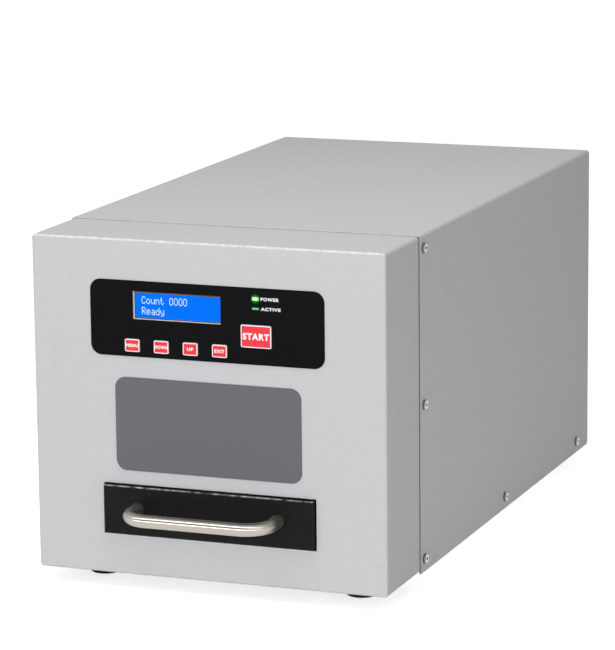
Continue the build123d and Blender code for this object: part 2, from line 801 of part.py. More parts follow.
# Drawer tray: a moulded tray for one drive, with two tails that stay in the coil's runners
with BuildPart() as drawer_tray:
    with BuildSketch(level(tray_z)):
        with Locations((0, drawer_back)):
            Rectangle(tray_width, tail_end - drawer_back, align=(Align.CENTER, Align.MIN))
    extrude(amount=tray_height)
    with BuildSketch(level(tray_z + tray_floor)):
        with Locations((0, cavity_y + cavity_length / 2)):
            RectangleRounded(cavity_width, cavity_length, tray_corner)
    extrude(amount=tray_height, mode=Mode.SUBTRACT)
    with BuildSketch(level(tray_z)):
        with Locations((0, tray_rear)):
            Rectangle(cavity_width, tray_tail, align=(Align.CENTER, Align.MIN))
    extrude(amount=tray_height, mode=Mode.SUBTRACT)
    with BuildSketch(level(tray_z + tail_height)):
        with Locations((0, tray_rear)):
            Rectangle(tray_width, tray_tail, align=(Align.CENTER, Align.MIN))
    extrude(amount=tray_height, mode=Mode.SUBTRACT)
    with BuildSketch(facing_right(0)):
        with Locations((cavity_y + cavity_length / 2, tray_z + tray_height)):
            Circle(thumb_notch)
    extrude(amount=tray_width, both=True, mode=Mode.SUBTRACT)
    with Locations(*[on_rear(x, cavity_y, z) for x, z in tray_screw_places]):
        CounterBoreHole(clear_hole, screw_head / 2 + hole_slack, screw_rise + fit_gap)
tray_seat = cavity_y - screw_rise - fit_gap
with BuildPart() as tray_screws:
    with Locations(*[on_rear(x, tray_seat, z) for x, z in tray_screw_places]):
        add(case_screw)

# Coil: a flanged former that stands on the base, its winding, and the runners in its bore
bore_height = bore_top - bore_bottom
bore_mid = (0, bore_bottom + bore_height / 2)
winding_height = winding_top - winding_bottom


def cheek(y, bottom):
    """End plate of the coil former, from its seat up past the winding, with the bore cut through."""
    with BuildSketch(facing_front(y)) as outline:
        with Locations((0, bottom)):
            Rectangle(2 * cheek_half, cheek_top - bottom, align=(Align.CENTER, Align.MIN))
        with Locations(bore_mid):
            Rectangle(2 * bore_half, bore_height, mode=Mode.SUBTRACT)
    return outline.sketch


def coil_feet(places, bottom):
    """Blocks at the foot of a cheek that take the coil's screws."""
    with BuildSketch(level(bottom)) as outline:
        with Locations(*places):
            Rectangle(coil_foot_width, coil_foot_depth)
    return outline.sketch


with BuildPart() as coil_former:
    with BuildSketch(facing_front(coil_y)):
        with Locations(bore_mid):
            Rectangle(2 * (bore_half + former_wall), bore_height + 2 * former_wall)
            Rectangle(2 * bore_half, bore_height, mode=Mode.SUBTRACT)
    extrude(amount=-coil_length)
    extrude(cheek(coil_y, tongue_top), amount=-cheek_thickness)
    extrude(cheek(coil_rear - cheek_thickness, pan_top), amount=-cheek_thickness)
    extrude(coil_feet(front_coil_places, tongue_top), amount=coil_foot_height)
    extrude(coil_feet(rear_coil_places, pan_top), amount=coil_foot_height)
    with BuildSketch(level(case_z)):
        with Locations(*front_coil_places, *rear_coil_places):
            Circle(tapped_hole)
    extrude(amount=screw_length + thread_room, mode=Mode.SUBTRACT)
with BuildPart() as coil_winding:
    with BuildSketch(facing_front(coil_y + cheek_thickness)):
        with Locations(bore_mid):
            RectangleRounded(2 * winding_half, winding_height, winding_corner)
            Rectangle(2 * (bore_half + former_wall), bore_height + 2 * former_wall, mode=Mode.SUBTRACT)
    extrude(amount=-(coil_length - 2 * cheek_thickness))
with BuildPart() as tray_runners:
    with BuildSketch(facing_front(coil_y)):
        with Locations((bore_half, bore_bottom)):
            Rectangle(runner_width, runner_thickness, align=(Align.MAX, Align.MIN))
            Rectangle(runner_thickness, runner_height, align=(Align.MAX, Align.MIN))
        mirror(about=Plane.YZ)
    extrude(amount=-coil_length)

# Drawer sensor: a forked optical switch on the coil's rear cheek, straddling the right-hand tail
sensor_x = tray_width / 2 - tray_wall / 2
sensor_top = tray_z + tail_height + sensor_height - sensor_arm
with BuildPart() as drawer_sensor:
    with BuildSketch(facing_front(coil_rear)):
        with Locations((sensor_x, sensor_top)):
            Rectangle(sensor_width, sensor_height, align=(Align.CENTER, Align.MAX))
        with Locations((sensor_x, sensor_top - sensor_height)):
            Rectangle(
                tray_wall + 2 * sensor_slot_gap,
                sensor_arm + sensor_slot_gap,
                align=(Align.CENTER, Align.MIN),
                mode=Mode.SUBTRACT,
            )
    extrude(amount=-sensor_depth)

# Capacitor bank: cans in a moulded cradle on the base, joined by copper bars
bank_plane = Plane(origin=(0, capacitor_mid_y, pan_top))
bank_span = (capacitor_columns - 1) * capacitor_pitch
bar_z = capacitor_height + terminal_height
with BuildPart() as capacitors:
    with BuildSketch(bank_plane):
        with capacitor_places:
            Circle(capacitor_diameter / 2)
    extrude(amount=capacitor_height)
    fillet(capacitors.edges().filter_by(GeomType.CIRCLE).group_by(Axis.Z)[-1], capacitor_edge)
    with BuildSketch(bank_plane.offset(capacitor_height)):
        with capacitor_places:
            with GridLocations(0, 2 * terminal_offset, 1, 2):
                Circle(terminal_diameter / 2)
    extrude(amount=terminal_height)
with BuildPart() as capacitor_cradle:
    with BuildSketch(bank_plane):
        Rectangle(capacitor_columns * capacitor_pitch, capacitor_rows * capacitor_pitch)
        with capacitor_places:
            Circle(capacitor_diameter / 2 + cradle_gap, mode=Mode.SUBTRACT)
    extrude(amount=cradle_height)
with BuildPart() as bus_bars:
    with BuildSketch(bank_plane.offset(bar_z)):
        with GridLocations(0, capacitor_pitch, 1, capacitor_rows):
            with GridLocations(0, 2 * terminal_offset, 1, 2):
                Rectangle(bank_span + bar_width, bar_width)
    extrude(amount=bar_thickness)

# Shelf over the coil, with the charger's board and the bleed resistor on it
with BuildPart() as equipment_shelf:
    with BuildSketch(facing_front(front_y + shelf_start)):
        with Locations((0, shelf_z)):
            Rectangle(2 * shelf_half, sheet, align=(Align.CENTER, Align.MAX))
        with Locations((shelf_half, pan_top)):
            Rectangle(sheet, shelf_z - pan_top, align=(Align.MAX, Align.MIN))
            Rectangle(shelf_foot, sheet, align=(Align.MIN, Align.MIN))
        mirror(about=Plane.YZ)
    extrude(amount=-shelf_length)
charger_mid = (charger_board_x, shelf_mid_y)
with BuildPart() as charger_standoffs:
    with BuildSketch(level(shelf_z)):
        with Locations(charger_mid):
            with GridLocations(
                charger_board_width - 2 * standoff_inset,
                charger_board_length - 2 * standoff_inset,
                2,
                2,
            ):
                Circle(standoff_diameter / 2)
    extrude(amount=charger_standoff)
with BuildPart() as charger_board:
    with BuildSketch(level(charger_z)):
        with Locations(charger_mid):
            Rectangle(charger_board_width, charger_board_length)
    extrude(amount=board)
charger_top = charger_z + board
with BuildPart() as charger_choke:
    with BuildSketch(level(charger_top)):
        with Locations((charger_board_x + choke_x, shelf_mid_y)):
            Circle(choke_diameter / 2)
            Circle(choke_bore / 2, mode=Mode.SUBTRACT)
    extrude(amount=choke_height)
    fillet(charger_choke.edges().filter_by(GeomType.CIRCLE).group_by(Axis.Z)[-1], board)
with BuildPart() as charger_relays:
    with BuildSketch(level(charger_top)):
        with Locations((charger_board_x + relay_x, shelf_mid_y)):
            with GridLocations(relay_pitch, 0, 2, 1):
                Rectangle(relay_width, relay_depth)
    extrude(amount=relay_height)
with BuildPart() as bleed_resistor:
    with BuildSketch(facing_front(shelf_mid_y - resistor_length / 2)):
        with Locations((resistor_x, shelf_z)):
            Rectangle(resistor_width, resistor_fin, align=(Align.CENTER, Align.MIN))
            Rectangle(resistor_body, resistor_height, align=(Align.CENTER, Align.MIN))
        with Locations((resistor_x, shelf_z + resistor_height / 2)):
            with GridLocations(0, 2 * resistor_fin, 1, 2):
                Rectangle(resistor_body + 2 * resistor_fin, resistor_fin)
    extrude(amount=-resistor_length)

# Charging transformer: a laminated core with a winding round its middle leg
core_window_width = (transformer_width - 4 * core_leg) / 2
core_window_height = transformer_height - 2 * core_leg
core_y = rear_block_y + winding_bulge
with BuildPart() as transformer_core:
    with BuildSketch(facing_front(core_y)):
        with Locations((transformer_x, pan_top + transformer_height / 2)):
            Rectangle(transformer_width, transformer_height)
            with GridLocations(2 * core_leg + core_window_width, 0, 2, 1):
                Rectangle(core_window_width, core_window_height, mode=Mode.SUBTRACT)
    extrude(amount=-transformer_depth)
with BuildPart() as transformer_winding:
    with BuildSketch(level(pan_top + core_leg)):
        with Locations((transformer_x, core_y + transformer_depth / 2)):
            RectangleRounded(
                2 * core_leg + 2 * (core_window_width - winding_gap),
                transformer_depth + 2 * winding_bulge,
                winding_bulge / 2,
            )
            Rectangle(
                2 * (core_leg + winding_gap),
                transformer_depth + 2 * winding_gap,
                mode=Mode.SUBTRACT,
            )
    extrude(amount=core_window_height - winding_gap)

# Discharge switch: a power module on a finned heat sink that stands on its fins
sink_top = pan_top + sink_height
with BuildPart() as heat_sink:
    with BuildSketch(facing_front(rear_block_y)):
        with Locations((sink_x, sink_top)):
            Rectangle(sink_width, sink_base, align=(Align.CENTER, Align.MAX))
            with GridLocations((sink_width - fin_thickness) / (fin_count - 1), 0, fin_count, 1):
                Rectangle(fin_thickness, sink_height, align=(Align.CENTER, Align.MAX))
    extrude(amount=-sink_length)
module_mid = (sink_x, rear_block_y + sink_length / 2)
with BuildPart() as discharge_module:
    with BuildSketch(level(sink_top)):
        with Locations(module_mid):
            Rectangle(module_width, module_length)
    extrude(amount=module_height)
    chamfer(discharge_module.faces().sort_by(Axis.Z)[-1].edges(), module_terminal_height / 2)
    with BuildSketch(level(sink_top + module_height)):
        with Locations(module_mid):
            with GridLocations(0, module_terminal_pitch, 1, 3):
                Circle(module_terminal / 2)
    extrude(amount=module_terminal_height)

# Cooling fan: a square frame with a motor mount, and a bladed rotor that turns in it
fan_plane = Plane(origin=(fan_x, rear_inner, fan_z), x_dir=(1, 0, 0), z_dir=(0, -1, 0))
rotor_length = fan_depth - fan_web - 2 * rotor_end_gap
rotor_mid = rotor_end_gap + rotor_length / 2
tip_radius = fan_bore / 2 - blade_tip_gap
blade_root = fan_hub / 2 - blade_thickness
with BuildPart() as fan_frame:
    with BuildSketch(fan_plane):
        RectangleRounded(fan_side, fan_side, fan_corner)
        Circle(fan_bore / 2, mode=Mode.SUBTRACT)
        with GridLocations(fan_hole_spacing, fan_hole_spacing, 2, 2):
            Circle(clear_hole, mode=Mode.SUBTRACT)
    extrude(amount=fan_depth)
    with BuildSketch(fan_plane.offset(fan_depth - fan_web)):
        Circle(fan_hub / 2)
        Rectangle(fan_bore + board, fan_strut, rotation=45)
        Rectangle(fan_strut, fan_bore + board, rotation=45)
        Circle(shaft_diameter / 2 + shaft_slack, mode=Mode.SUBTRACT)
    extrude(amount=fan_web)
with BuildPart(fan_plane) as fan_rotor:
    with Locations((0, 0, rotor_mid)):
        with PolarLocations((blade_root + tip_radius + blade_tip_gap) / 2, blade_count):
            Box(
                tip_radius + blade_tip_gap - blade_root,
                blade_thickness,
                blade_chord,
                rotation=(blade_angle, 0, 0),
            )
        Cylinder(fan_hub / 2, rotor_length)
        Cylinder(tip_radius, rotor_length, mode=Mode.INTERSECT)
    with Locations((0, 0, rotor_end_gap + rotor_length)):
        Cylinder(
            shaft_diameter / 2,
            fan_web + rotor_end_gap,
            align=(Align.CENTER, Align.CENTER, Align.MIN),
        )
with BuildPart() as fan_guard:
    with BuildSketch(facing_front(rear_face)):
        with Locations((fan_x, fan_z)):
            for radius in reversed(guard_ring_radii):
                Circle(radius + guard_wire / 2)
                Circle(radius - guard_wire / 2, mode=Mode.SUBTRACT)
            Rectangle(fan_hole_spacing * 2**0.5, guard_spoke, rotation=45)
            Rectangle(guard_spoke, fan_hole_spacing * 2**0.5, rotation=45)
        with Locations(*fan_corners):
            Circle(guard_ear)
            Circle(clear_hole, mode=Mode.SUBTRACT)
    extrude(amount=-guard_thickness)
fan_screw = pan_head_screw(fan_screw_length)
with BuildPart() as fan_screws:
    with Locations(*[on_rear(x, rear_face + guard_thickness, z) for x, z in fan_corners]):
        add(fan_screw)

# Mains inlet: a rimmed socket and the well of the power rocker in one moulding
rim_face = rear_face + inlet_rim
socket_floor = rim_face - socket_depth
rocker_mid_x = inlet_x + rocker_x
pivot_y = rim_face - rocker_pivot_depth
axle_span = rocker_width / 2 + rocker_gap + rocker_axle_reach
with BuildPart() as mains_inlet:
    with BuildSketch(facing_front(rear_face)):
        with Locations((inlet_x, inlet_z)):
            RectangleRounded(inlet_width, inlet_height, inlet_corner)
    extrude(amount=-inlet_rim)
    fillet(mains_inlet.faces().sort_by(Axis.Y)[-1].edges(), inlet_corner / 3)
    with BuildSketch(facing_front(rear_face)):
        with Locations((inlet_x, inlet_z)):
            Rectangle(inlet_body_width, inlet_body_height)
    extrude(amount=inlet_body_depth)
    with BuildSketch(facing_front(rim_face)) as socket_outline:
        with Locations((inlet_x + socket_x, inlet_z)):
            Rectangle(socket_width, socket_height)
        chamfer(socket_outline.vertices().group_by(Axis.Y)[-1], socket_chamfer)
    extrude(amount=socket_depth, mode=Mode.SUBTRACT)
    with BuildSketch(facing_front(rim_face)):
        with Locations((rocker_mid_x, inlet_z)):
            Rectangle(rocker_width + 2 * rocker_gap, rocker_height + 2 * rocker_end_gap)
    extrude(amount=rocker_well_depth, mode=Mode.SUBTRACT)
    with BuildSketch(facing_right(rocker_mid_x)):
        with Locations((pivot_y, inlet_z)):
            Circle(rocker_axle / 2 + axle_slack)
    extrude(amount=axle_span + fit_gap, both=True, mode=Mode.SUBTRACT)
with BuildPart() as inlet_pins:
    with BuildSketch(facing_front(socket_floor)):
        with Locations((inlet_x + socket_x, inlet_z)):
            with Locations((-pin_pitch, -pin_offset), (0, pin_offset), (pin_pitch, -pin_offset)):
                Rectangle(pin_width, pin_height)
    extrude(amount=-pin_reach)

# Power rocker: a dished key on a cross axle, tilted to its on side
tilt = radians(rocker_tilt)
rocker_half = rocker_height / 2
rocker_plane = Plane(
    origin=(rocker_mid_x, pivot_y, inlet_z),
    x_dir=(0, cos(tilt), sin(tilt)),
    z_dir=(1, 0, 0),
)
with BuildPart() as power_rocker:
    with BuildSketch(rocker_plane):
        with BuildLine():
            Polyline(
                (0, -rocker_heel),
                (rocker_skirt, -rocker_half),
                (rocker_thickness, -rocker_half),
                (rocker_thickness - rocker_dip, 0),
                (rocker_thickness, rocker_half),
                (rocker_skirt, rocker_half),
                (0, rocker_heel),
            )
            ThreePointArc((0, rocker_heel), (-rocker_heel, 0), (0, -rocker_heel))
        make_face()
    extrude(amount=rocker_width / 2, both=True)
    with BuildSketch(rocker_plane):
        Circle(rocker_axle / 2)
    extrude(amount=axle_span, both=True)

# Every finished piece, by the name that it goes by
pieces = {
    "front_cover": front_cover,
    "wrap_cover": wrap_cover,
    "base_pan": base_pan,
    "rear_panel": rear_panel,
    "cover_screws": cover_screws,
    "rear_screws": rear_screws,
    "coil_screws": coil_screws,
    "rubber_feet": rubber_feet,
    "foot_screws": foot_screws,
    "control_overlay": control_overlay,
    "name_plate": name_plate,
    "display_bezel": display_bezel,
    "display_glass": display_glass,
    "display_board": display_board,
    "control_board": control_board,
    "board_standoffs": board_standoffs,
    "key_switches": key_switches,
    **keys,
    **lamps,
    "drawer_front": drawer_front,
    "drawer_handle": drawer_handle,
    "handle_screws": handle_screws,
    "drawer_tray": drawer_tray,
    "tray_screws": tray_screws,
    "coil_former": coil_former,
    "coil_winding": coil_winding,
    "tray_runners": tray_runners,
    "drawer_sensor": drawer_sensor,
    "capacitors": capacitors,
    "capacitor_cradle": capacitor_cradle,
    "bus_bars": bus_bars,
    "equipment_shelf": equipment_shelf,
    "charger_standoffs": charger_standoffs,
    "charger_board": charger_board,
    "charger_choke": charger_choke,
    "charger_relays": charger_relays,
    "bleed_resistor": bleed_resistor,
    "transformer_core": transformer_core,
    "transformer_winding": transformer_winding,
    "heat_sink": heat_sink,
    "discharge_module": discharge_module,
    "fan_frame": fan_frame,
    "fan_rotor": fan_rotor,
    "fan_guard": fan_guard,
    "fan_screws": fan_screws,
    "mains_inlet": mains_inlet,
    "inlet_pins": inlet_pins,
    "power_rocker": power_rocker,
}
os.makedirs("parts", exist_ok=True)
for name, piece in pieces.items():
    piece.part.label = name
    export_step(piece.part, f"parts/{name}.step")
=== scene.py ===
# %% [markdown]
# # Finishing a hard drive degausser
# The machine is a painted steel case that stands on a desk. A black drawer carries one drive into a
# coil, and a small panel of red keys with a lit display runs the pulse. The solids come from the
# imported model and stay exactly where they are. This lesson gives each of them the finish of the
# real thing, adds the printing and the display's dots, and sets up light and camera. Everything is
# in metres, in the model's own frame: X to the right, Y to the back and Z up.

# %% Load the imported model
import math

import bmesh
import bpy
from mathutils import Matrix, Vector


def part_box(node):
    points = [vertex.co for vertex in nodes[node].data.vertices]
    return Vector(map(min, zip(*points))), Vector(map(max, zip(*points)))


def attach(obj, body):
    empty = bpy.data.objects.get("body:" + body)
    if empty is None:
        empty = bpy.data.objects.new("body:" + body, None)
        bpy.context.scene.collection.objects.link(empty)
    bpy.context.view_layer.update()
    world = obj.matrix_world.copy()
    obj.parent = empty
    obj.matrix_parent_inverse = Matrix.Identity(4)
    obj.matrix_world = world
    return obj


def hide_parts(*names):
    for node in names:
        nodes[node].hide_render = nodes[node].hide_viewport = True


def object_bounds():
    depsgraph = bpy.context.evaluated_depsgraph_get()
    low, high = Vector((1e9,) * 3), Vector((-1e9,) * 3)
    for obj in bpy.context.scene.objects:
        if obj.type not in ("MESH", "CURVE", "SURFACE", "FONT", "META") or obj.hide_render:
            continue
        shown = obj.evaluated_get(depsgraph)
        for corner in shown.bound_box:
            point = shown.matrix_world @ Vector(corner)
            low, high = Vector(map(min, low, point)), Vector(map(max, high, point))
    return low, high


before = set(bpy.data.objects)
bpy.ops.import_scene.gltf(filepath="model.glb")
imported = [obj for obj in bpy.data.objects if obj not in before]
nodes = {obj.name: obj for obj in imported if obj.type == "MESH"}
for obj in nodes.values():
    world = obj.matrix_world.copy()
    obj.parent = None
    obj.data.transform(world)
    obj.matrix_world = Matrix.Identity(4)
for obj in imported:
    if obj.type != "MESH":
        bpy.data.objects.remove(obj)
cad_low, cad_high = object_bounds()
MM = 0.001
print("solids:", len(nodes), "box in mm:", [round(side / MM, 1) for side in cad_high - cad_low])

# %% [markdown]
# ## The camera
# The photograph looks at the case from its right and a little from above, through a long lens, so
# that edges which are parallel hardly run together. A camera could be pointed by eye, but a small
# error shows at once along such long straight edges. So its turn, rise, roll, distance and lens
# come from matching the corners of the case, and are measured from the front cover's lower edge.

# %% Place the camera
cover_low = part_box("front_cover")[0]
camera_turn = math.radians(20.91)
camera_rise = math.radians(11.39)
camera_roll = math.radians(-0.6)
camera_from_edge = Vector((888.4, -2128.1, 648.6)) * MM
edge_middle = Vector((0, cover_low.y, cover_low.z))
camera_back = Vector((
    math.sin(camera_turn) * math.cos(camera_rise),
    -math.cos(camera_turn) * math.cos(camera_rise),
    math.sin(camera_rise),
))
level_right = Vector((math.cos(camera_turn), math.sin(camera_turn), 0))
level_up = camera_back.cross(level_right)
camera_right = math.cos(camera_roll) * level_right + math.sin(camera_roll) * level_up
camera_up = camera_back.cross(camera_right)
lens_mm = 187.2
sensor_mm = 36.0
camera_data = bpy.data.cameras.new("camera")
camera_data.lens = lens_mm
camera_data.sensor_width = sensor_mm
camera = bpy.data.objects.new("camera", camera_data)
camera_axes = Matrix((camera_right, camera_up, camera_back)).transposed()
camera.matrix_world = Matrix.Translation(edge_middle + camera_from_edge) @ camera_axes.to_4x4()
bpy.context.scene.collection.objects.link(camera)
bpy.context.scene.camera = camera
print("camera at", [round(v, 3) for v in camera.matrix_world.translation])

# %% [markdown]
# ## Building materials from nodes
# Every finish here is procedural: its colour, roughness and relief are worked out from the point on
# the surface. Two small helpers keep that readable. One adds a node and fills its inputs, where an
# input may be a plain value or another node's output. The other starts an empty node group, which
# is how one effect is built once and then used by several finishes with different values.


# %% Helpers for nodes and node groups
def add_node(tree, kind, settings=None, inputs=None):
    """Add one shader node, set its options, and fill or link its inputs."""
    made = tree.nodes.new("ShaderNode" + kind)
    for name, value in (settings or {}).items():
        setattr(made, name, value)
    for name, value in (inputs or {}).items():
        if isinstance(value, bpy.types.NodeSocket):
            tree.links.new(value, made.inputs[name])
        else:
            made.inputs[name].default_value = value
    return made


def maths(tree, operation, first, second=0.0, third=0.0, clamp=False):
    """Add a Math node and give back its result."""
    settings = {"operation": operation, "use_clamp": clamp}
    return add_node(tree, "Math", settings, {0: first, 1: second, 2: third}).outputs[0]


def new_group(name, inputs, outputs):
    """Start a node group whose sockets are listed as (name, kind, start value) and (name, kind)."""
    tree = bpy.data.node_groups.new(name, "ShaderNodeTree")
    for title, kind, start in inputs:
        socket = tree.interface.new_socket(title, in_out="INPUT", socket_type="NodeSocket" + kind)
        socket.default_value = start
    for title, kind in outputs:
        tree.interface.new_socket(title, in_out="OUTPUT", socket_type="NodeSocket" + kind)
    entry = tree.nodes.new("NodeGroupInput").outputs
    leave = tree.nodes.new("NodeGroupOutput").inputs
    return tree, entry, leave


def use_group(tree, group, **inputs):
    """Place a node group in a material; keyword names match its sockets, with _ for a space."""
    made = tree.nodes.new("ShaderNodeGroup")
    made.node_tree = group
    for name, value in inputs.items():
        socket = made.inputs[name.replace("_", " ")]
        if isinstance(value, bpy.types.NodeSocket):
            tree.links.new(value, socket)
        else:
            socket.default_value = value
    return made.outputs


def mixed(tree, share, first, second):
    """Mix two colours by a mask and give back the colour."""
    inputs = {0: share, 6: first, 7: second}
    return add_node(tree, "Mix", {"data_type": "RGBA"}, inputs).outputs[2]


def spread(tree, value, low, high):
    """Stretch a 0 to 1 value to the range low to high."""
    return add_node(tree, "MapRange", None, {"Value": value, "To Min": low, "To Max": high}).outputs[0]


print("helpers ready")

# %% [markdown]
# ## Four effects that several finishes share
# Paint, plastic and rubber all have a fine grain, so grain is one group with a grain size. Large
# plain panels never have quite one tone, so a slow drift shades a colour a little lighter and
# darker. Sheet metal and moulded edges are never knife-sharp: a Bevel node gives the rounded normal
# near an edge, and the angle between it and the flat normal makes a mask for edges. Finishes give
# these edges a tone of their own, mostly paler: partly wear and partly a painted highlight. Drawn
# and brushed metal has lines in one direction, which is noise that has been stretched.

# %% Grain
grain_tree, entry, leave = new_group(
    "fine_grain",
    [("Size", "Float", 0.001), ("Sharpness", "Float", 0.5)],
    [("Height", "Float"), ("Fleck", "Float")],
)
place = add_node(grain_tree, "TexCoord").outputs["Object"]
per_metre = maths(grain_tree, "DIVIDE", 1.0, entry["Size"])
noise = add_node(
    grain_tree,
    "TexNoise",
    None,
    {"Vector": place, "Scale": per_metre, "Detail": 3.0, "Roughness": entry["Sharpness"]},
)
grain_tree.links.new(noise.outputs["Fac"], leave["Height"])
fleck_low, fleck_high = 0.62, 0.70
fleck = add_node(
    grain_tree,
    "MapRange",
    {"interpolation_type": "SMOOTHSTEP"},
    {"Value": noise.outputs["Fac"], "From Min": fleck_low, "From Max": fleck_high},
)
grain_tree.links.new(fleck.outputs[0], leave["Fleck"])
print("group:", grain_tree.name)

# %% Drift
drift_tree, entry, leave = new_group(
    "tone_drift",
    [("Colour", "Color", (0.5, 0.5, 0.5, 1)), ("Size", "Float", 0.08), ("Amount", "Float", 0.04)],
    [("Colour", "Color"), ("Mask", "Float")],
)
place = add_node(drift_tree, "TexCoord").outputs["Object"]
per_metre = maths(drift_tree, "DIVIDE", 1.0, entry["Size"])
noise = add_node(drift_tree, "TexNoise", None, {"Vector": place, "Scale": per_metre, "Detail": 2.0})
swing = maths(drift_tree, "SUBTRACT", noise.outputs["Fac"], 0.5)
gain = maths(drift_tree, "MULTIPLY_ADD", swing, entry["Amount"], 1.0)
shaded = add_node(drift_tree, "VectorMath", {"operation": "SCALE"}, {0: entry["Colour"], "Scale": gain})
drift_tree.links.new(shaded.outputs[0], leave["Colour"])
drift_tree.links.new(noise.outputs["Fac"], leave["Mask"])
print("group:", drift_tree.name)

# %% Rounded edges, and a mask for their tone: partly wear, partly a painted highlight
edge_tree, entry, leave = new_group(
    "edge_wear_and_highlight",
    [("Radius", "Float", 0.0008), ("Gain", "Float", 4.0), ("Patchiness", "Float", 0.5)],
    [("Normal", "Vector"), ("Edge", "Float")],
)
rounded = add_node(edge_tree, "Bevel", {"samples": 6}, {"Radius": entry["Radius"]}).outputs[0]
flat = add_node(edge_tree, "NewGeometry").outputs["True Normal"]
agree = add_node(edge_tree, "VectorMath", {"operation": "DOT_PRODUCT"}, {0: rounded, 1: flat})
turned = maths(edge_tree, "SUBTRACT", 1.0, agree.outputs["Value"])
strength = maths(edge_tree, "MULTIPLY", turned, entry["Gain"], clamp=True)
place = add_node(edge_tree, "TexCoord").outputs["Object"]
patch_scale = 240.0
patch_slope, patch_start = -1.6, 1.4
noise = add_node(edge_tree, "TexNoise", None, {"Vector": place, "Scale": patch_scale, "Detail": 3.0})
thinned = maths(edge_tree, "MULTIPLY_ADD", noise.outputs["Fac"], patch_slope, patch_start)
loss = maths(edge_tree, "SUBTRACT", thinned, 1.0)
kept = maths(edge_tree, "MULTIPLY_ADD", loss, entry["Patchiness"], 1.0)
edge = maths(edge_tree, "MULTIPLY", strength, kept, clamp=True)
edge_tree.links.new(rounded, leave["Normal"])
edge_tree.links.new(edge, leave["Edge"])
print("group:", edge_tree.name)

# %% Drawn lines
drawn_tree, entry, leave = new_group(
    "drawn_lines",
    [("Stretch", "Vector", (1.0, 1.0, 1.0)), ("Size", "Float", 0.0004)],
    [("Height", "Float")],
)
place = add_node(drawn_tree, "TexCoord").outputs["Object"]
stretched = add_node(drawn_tree, "VectorMath", {"operation": "DIVIDE"}, {0: place, 1: entry["Stretch"]})
per_metre = maths(drawn_tree, "DIVIDE", 1.0, entry["Size"])
noise = add_node(
    drawn_tree, "TexNoise", None, {"Vector": stretched.outputs[0], "Scale": per_metre, "Detail": 2.0}
)
drawn_tree.links.new(noise.outputs["Fac"], leave["Height"])
print("group:", drawn_tree.name)

# %% [markdown]
# ## One recipe for most solid finishes
# A finish is a Principled shader with a colour that drifts a little, a roughness that varies, a
# grain under it as bump, and edges that are rounded and have a tone of their own, mostly paler:
# partly wear and partly a painted highlight. Writing that once as a function keeps each finish below
# to the values that make it different. Values that are the same all over, such as the metal or the
# specular level, go straight on the shader's own socket.


# %% A finish from its values
def new_material(name):
    """Start a material and give back its tree and its Principled shader."""
    material = bpy.data.materials.new(name)
    material.use_nodes = True
    return material, material.node_tree, material.node_tree.nodes["Principled BSDF"]


def grained_finish(name, colour, roughness, grain_mm, relief_mm, **more):
    """Paint, plastic, rubber or plated metal: drift, grain, and rounded edges with a tone of their own,
    partly wear and partly a painted highlight.
    """
    material, tree, shader = new_material(name)
    drift = use_group(
        tree,
        drift_tree,
        Colour=(*colour, 1),
        Size=more.get("drift_mm", 60) * MM,
        Amount=more.get("drift", 0.08),
    )
    edge = use_group(
        tree,
        edge_tree,
        Radius=more.get("edge_mm", 0.5) * MM,
        Gain=more.get("edge_gain", 2.0),
        Patchiness=more.get("edge_patches", 0.5),
    )
    grain = use_group(tree, grain_tree, Size=grain_mm * MM, Sharpness=0.55)
    # Edge tone: mostly paler than the colour, partly wear and partly a painted highlight on the rounded
    # edges.
    rubbed = (*more.get("rubbed", [min(1, c * 1.5 + 0.02) for c in colour]), 1)
    base = mixed(tree, edge["Edge"], drift["Colour"], rubbed)
    tree.links.new(base, shader.inputs["Base Color"])
    low, high = roughness
    tree.links.new(spread(tree, drift["Mask"], low, high), shader.inputs["Roughness"])
    bump = add_node(
        tree,
        "Bump",
        None,
        {"Strength": 1.0, "Distance": relief_mm * MM, "Height": grain["Height"], "Normal": edge["Normal"]},
    )
    tree.links.new(bump.outputs[0], shader.inputs["Normal"])
    shader.inputs["Metallic"].default_value = more.get("metal", 0.0)
    shader.inputs["Specular IOR Level"].default_value = more.get("specular", 0.5)
    return material


def give(material, *names):
    """Put a finish on CAD solids, through their own material slots."""
    for name in names:
        for slot in nodes[name].material_slots:
            slot.material = material
    print(material.name, "on", len(names), "solids")


def so_far(material):
    """Give back a finish's tree, its Principled shader and the colour that it has so far."""
    shader = material.node_tree.nodes["Principled BSDF"]
    return material.node_tree, shader, shader.inputs["Base Color"].links[0].from_socket


# %% [markdown]
# ## The painted case
# Front cover and wrap cover are steel sheet under one light grey powder coat. Such a coat is baked
# from a powder, so it has a very fine orange-peel relief and hardly shines; a grain of about a
# millimetre with a few hundredths of relief gives that. Its edges are paler, partly as wear and
# partly as a painted highlight.
# The seam between the two covers is painted dark, a painted shade in the gap. A mask finds it
# from the place alone: between the covers, below their skin.
# Another mask finds the edges that look up and forward, towards the lamps, by their normal; they
# are painted pale in uneven patches, a painted highlight. The cut walls of the display's window are
# painted a pale, warm cream: painted light on walls that lie in shade.

# %% Powder coat
paint_grey = (0.597, 0.602, 0.610)
rubbed_paint = (0.80, 0.805, 0.81)
powder_coat = grained_finish(
    "powder_coat", paint_grey, (0.46, 0.56), 0.9, 0.03,
    drift=0.07, drift_mm=5, edge_mm=0.6, edge_gain=1.6, rubbed=rubbed_paint, specular=0.012,
)
give(powder_coat, "front_cover", "wrap_cover")


# %% Mask for the seam
def object_axes(tree):
    """Give back the X, Y and Z of the point on the surface, in the model's own frame."""
    place = add_node(tree, "TexCoord").outputs["Object"]
    return add_node(tree, "SeparateXYZ", None, {0: place}).outputs


wrap_low, wrap_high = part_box("wrap_cover")
seam_gap = 1.2 * MM
seam_front = wrap_low.y - 0.98 * seam_gap
seam_back = wrap_low.y + 0.02 * seam_gap
side_skin = 0.5 * MM
top_skin = 0.95 * MM


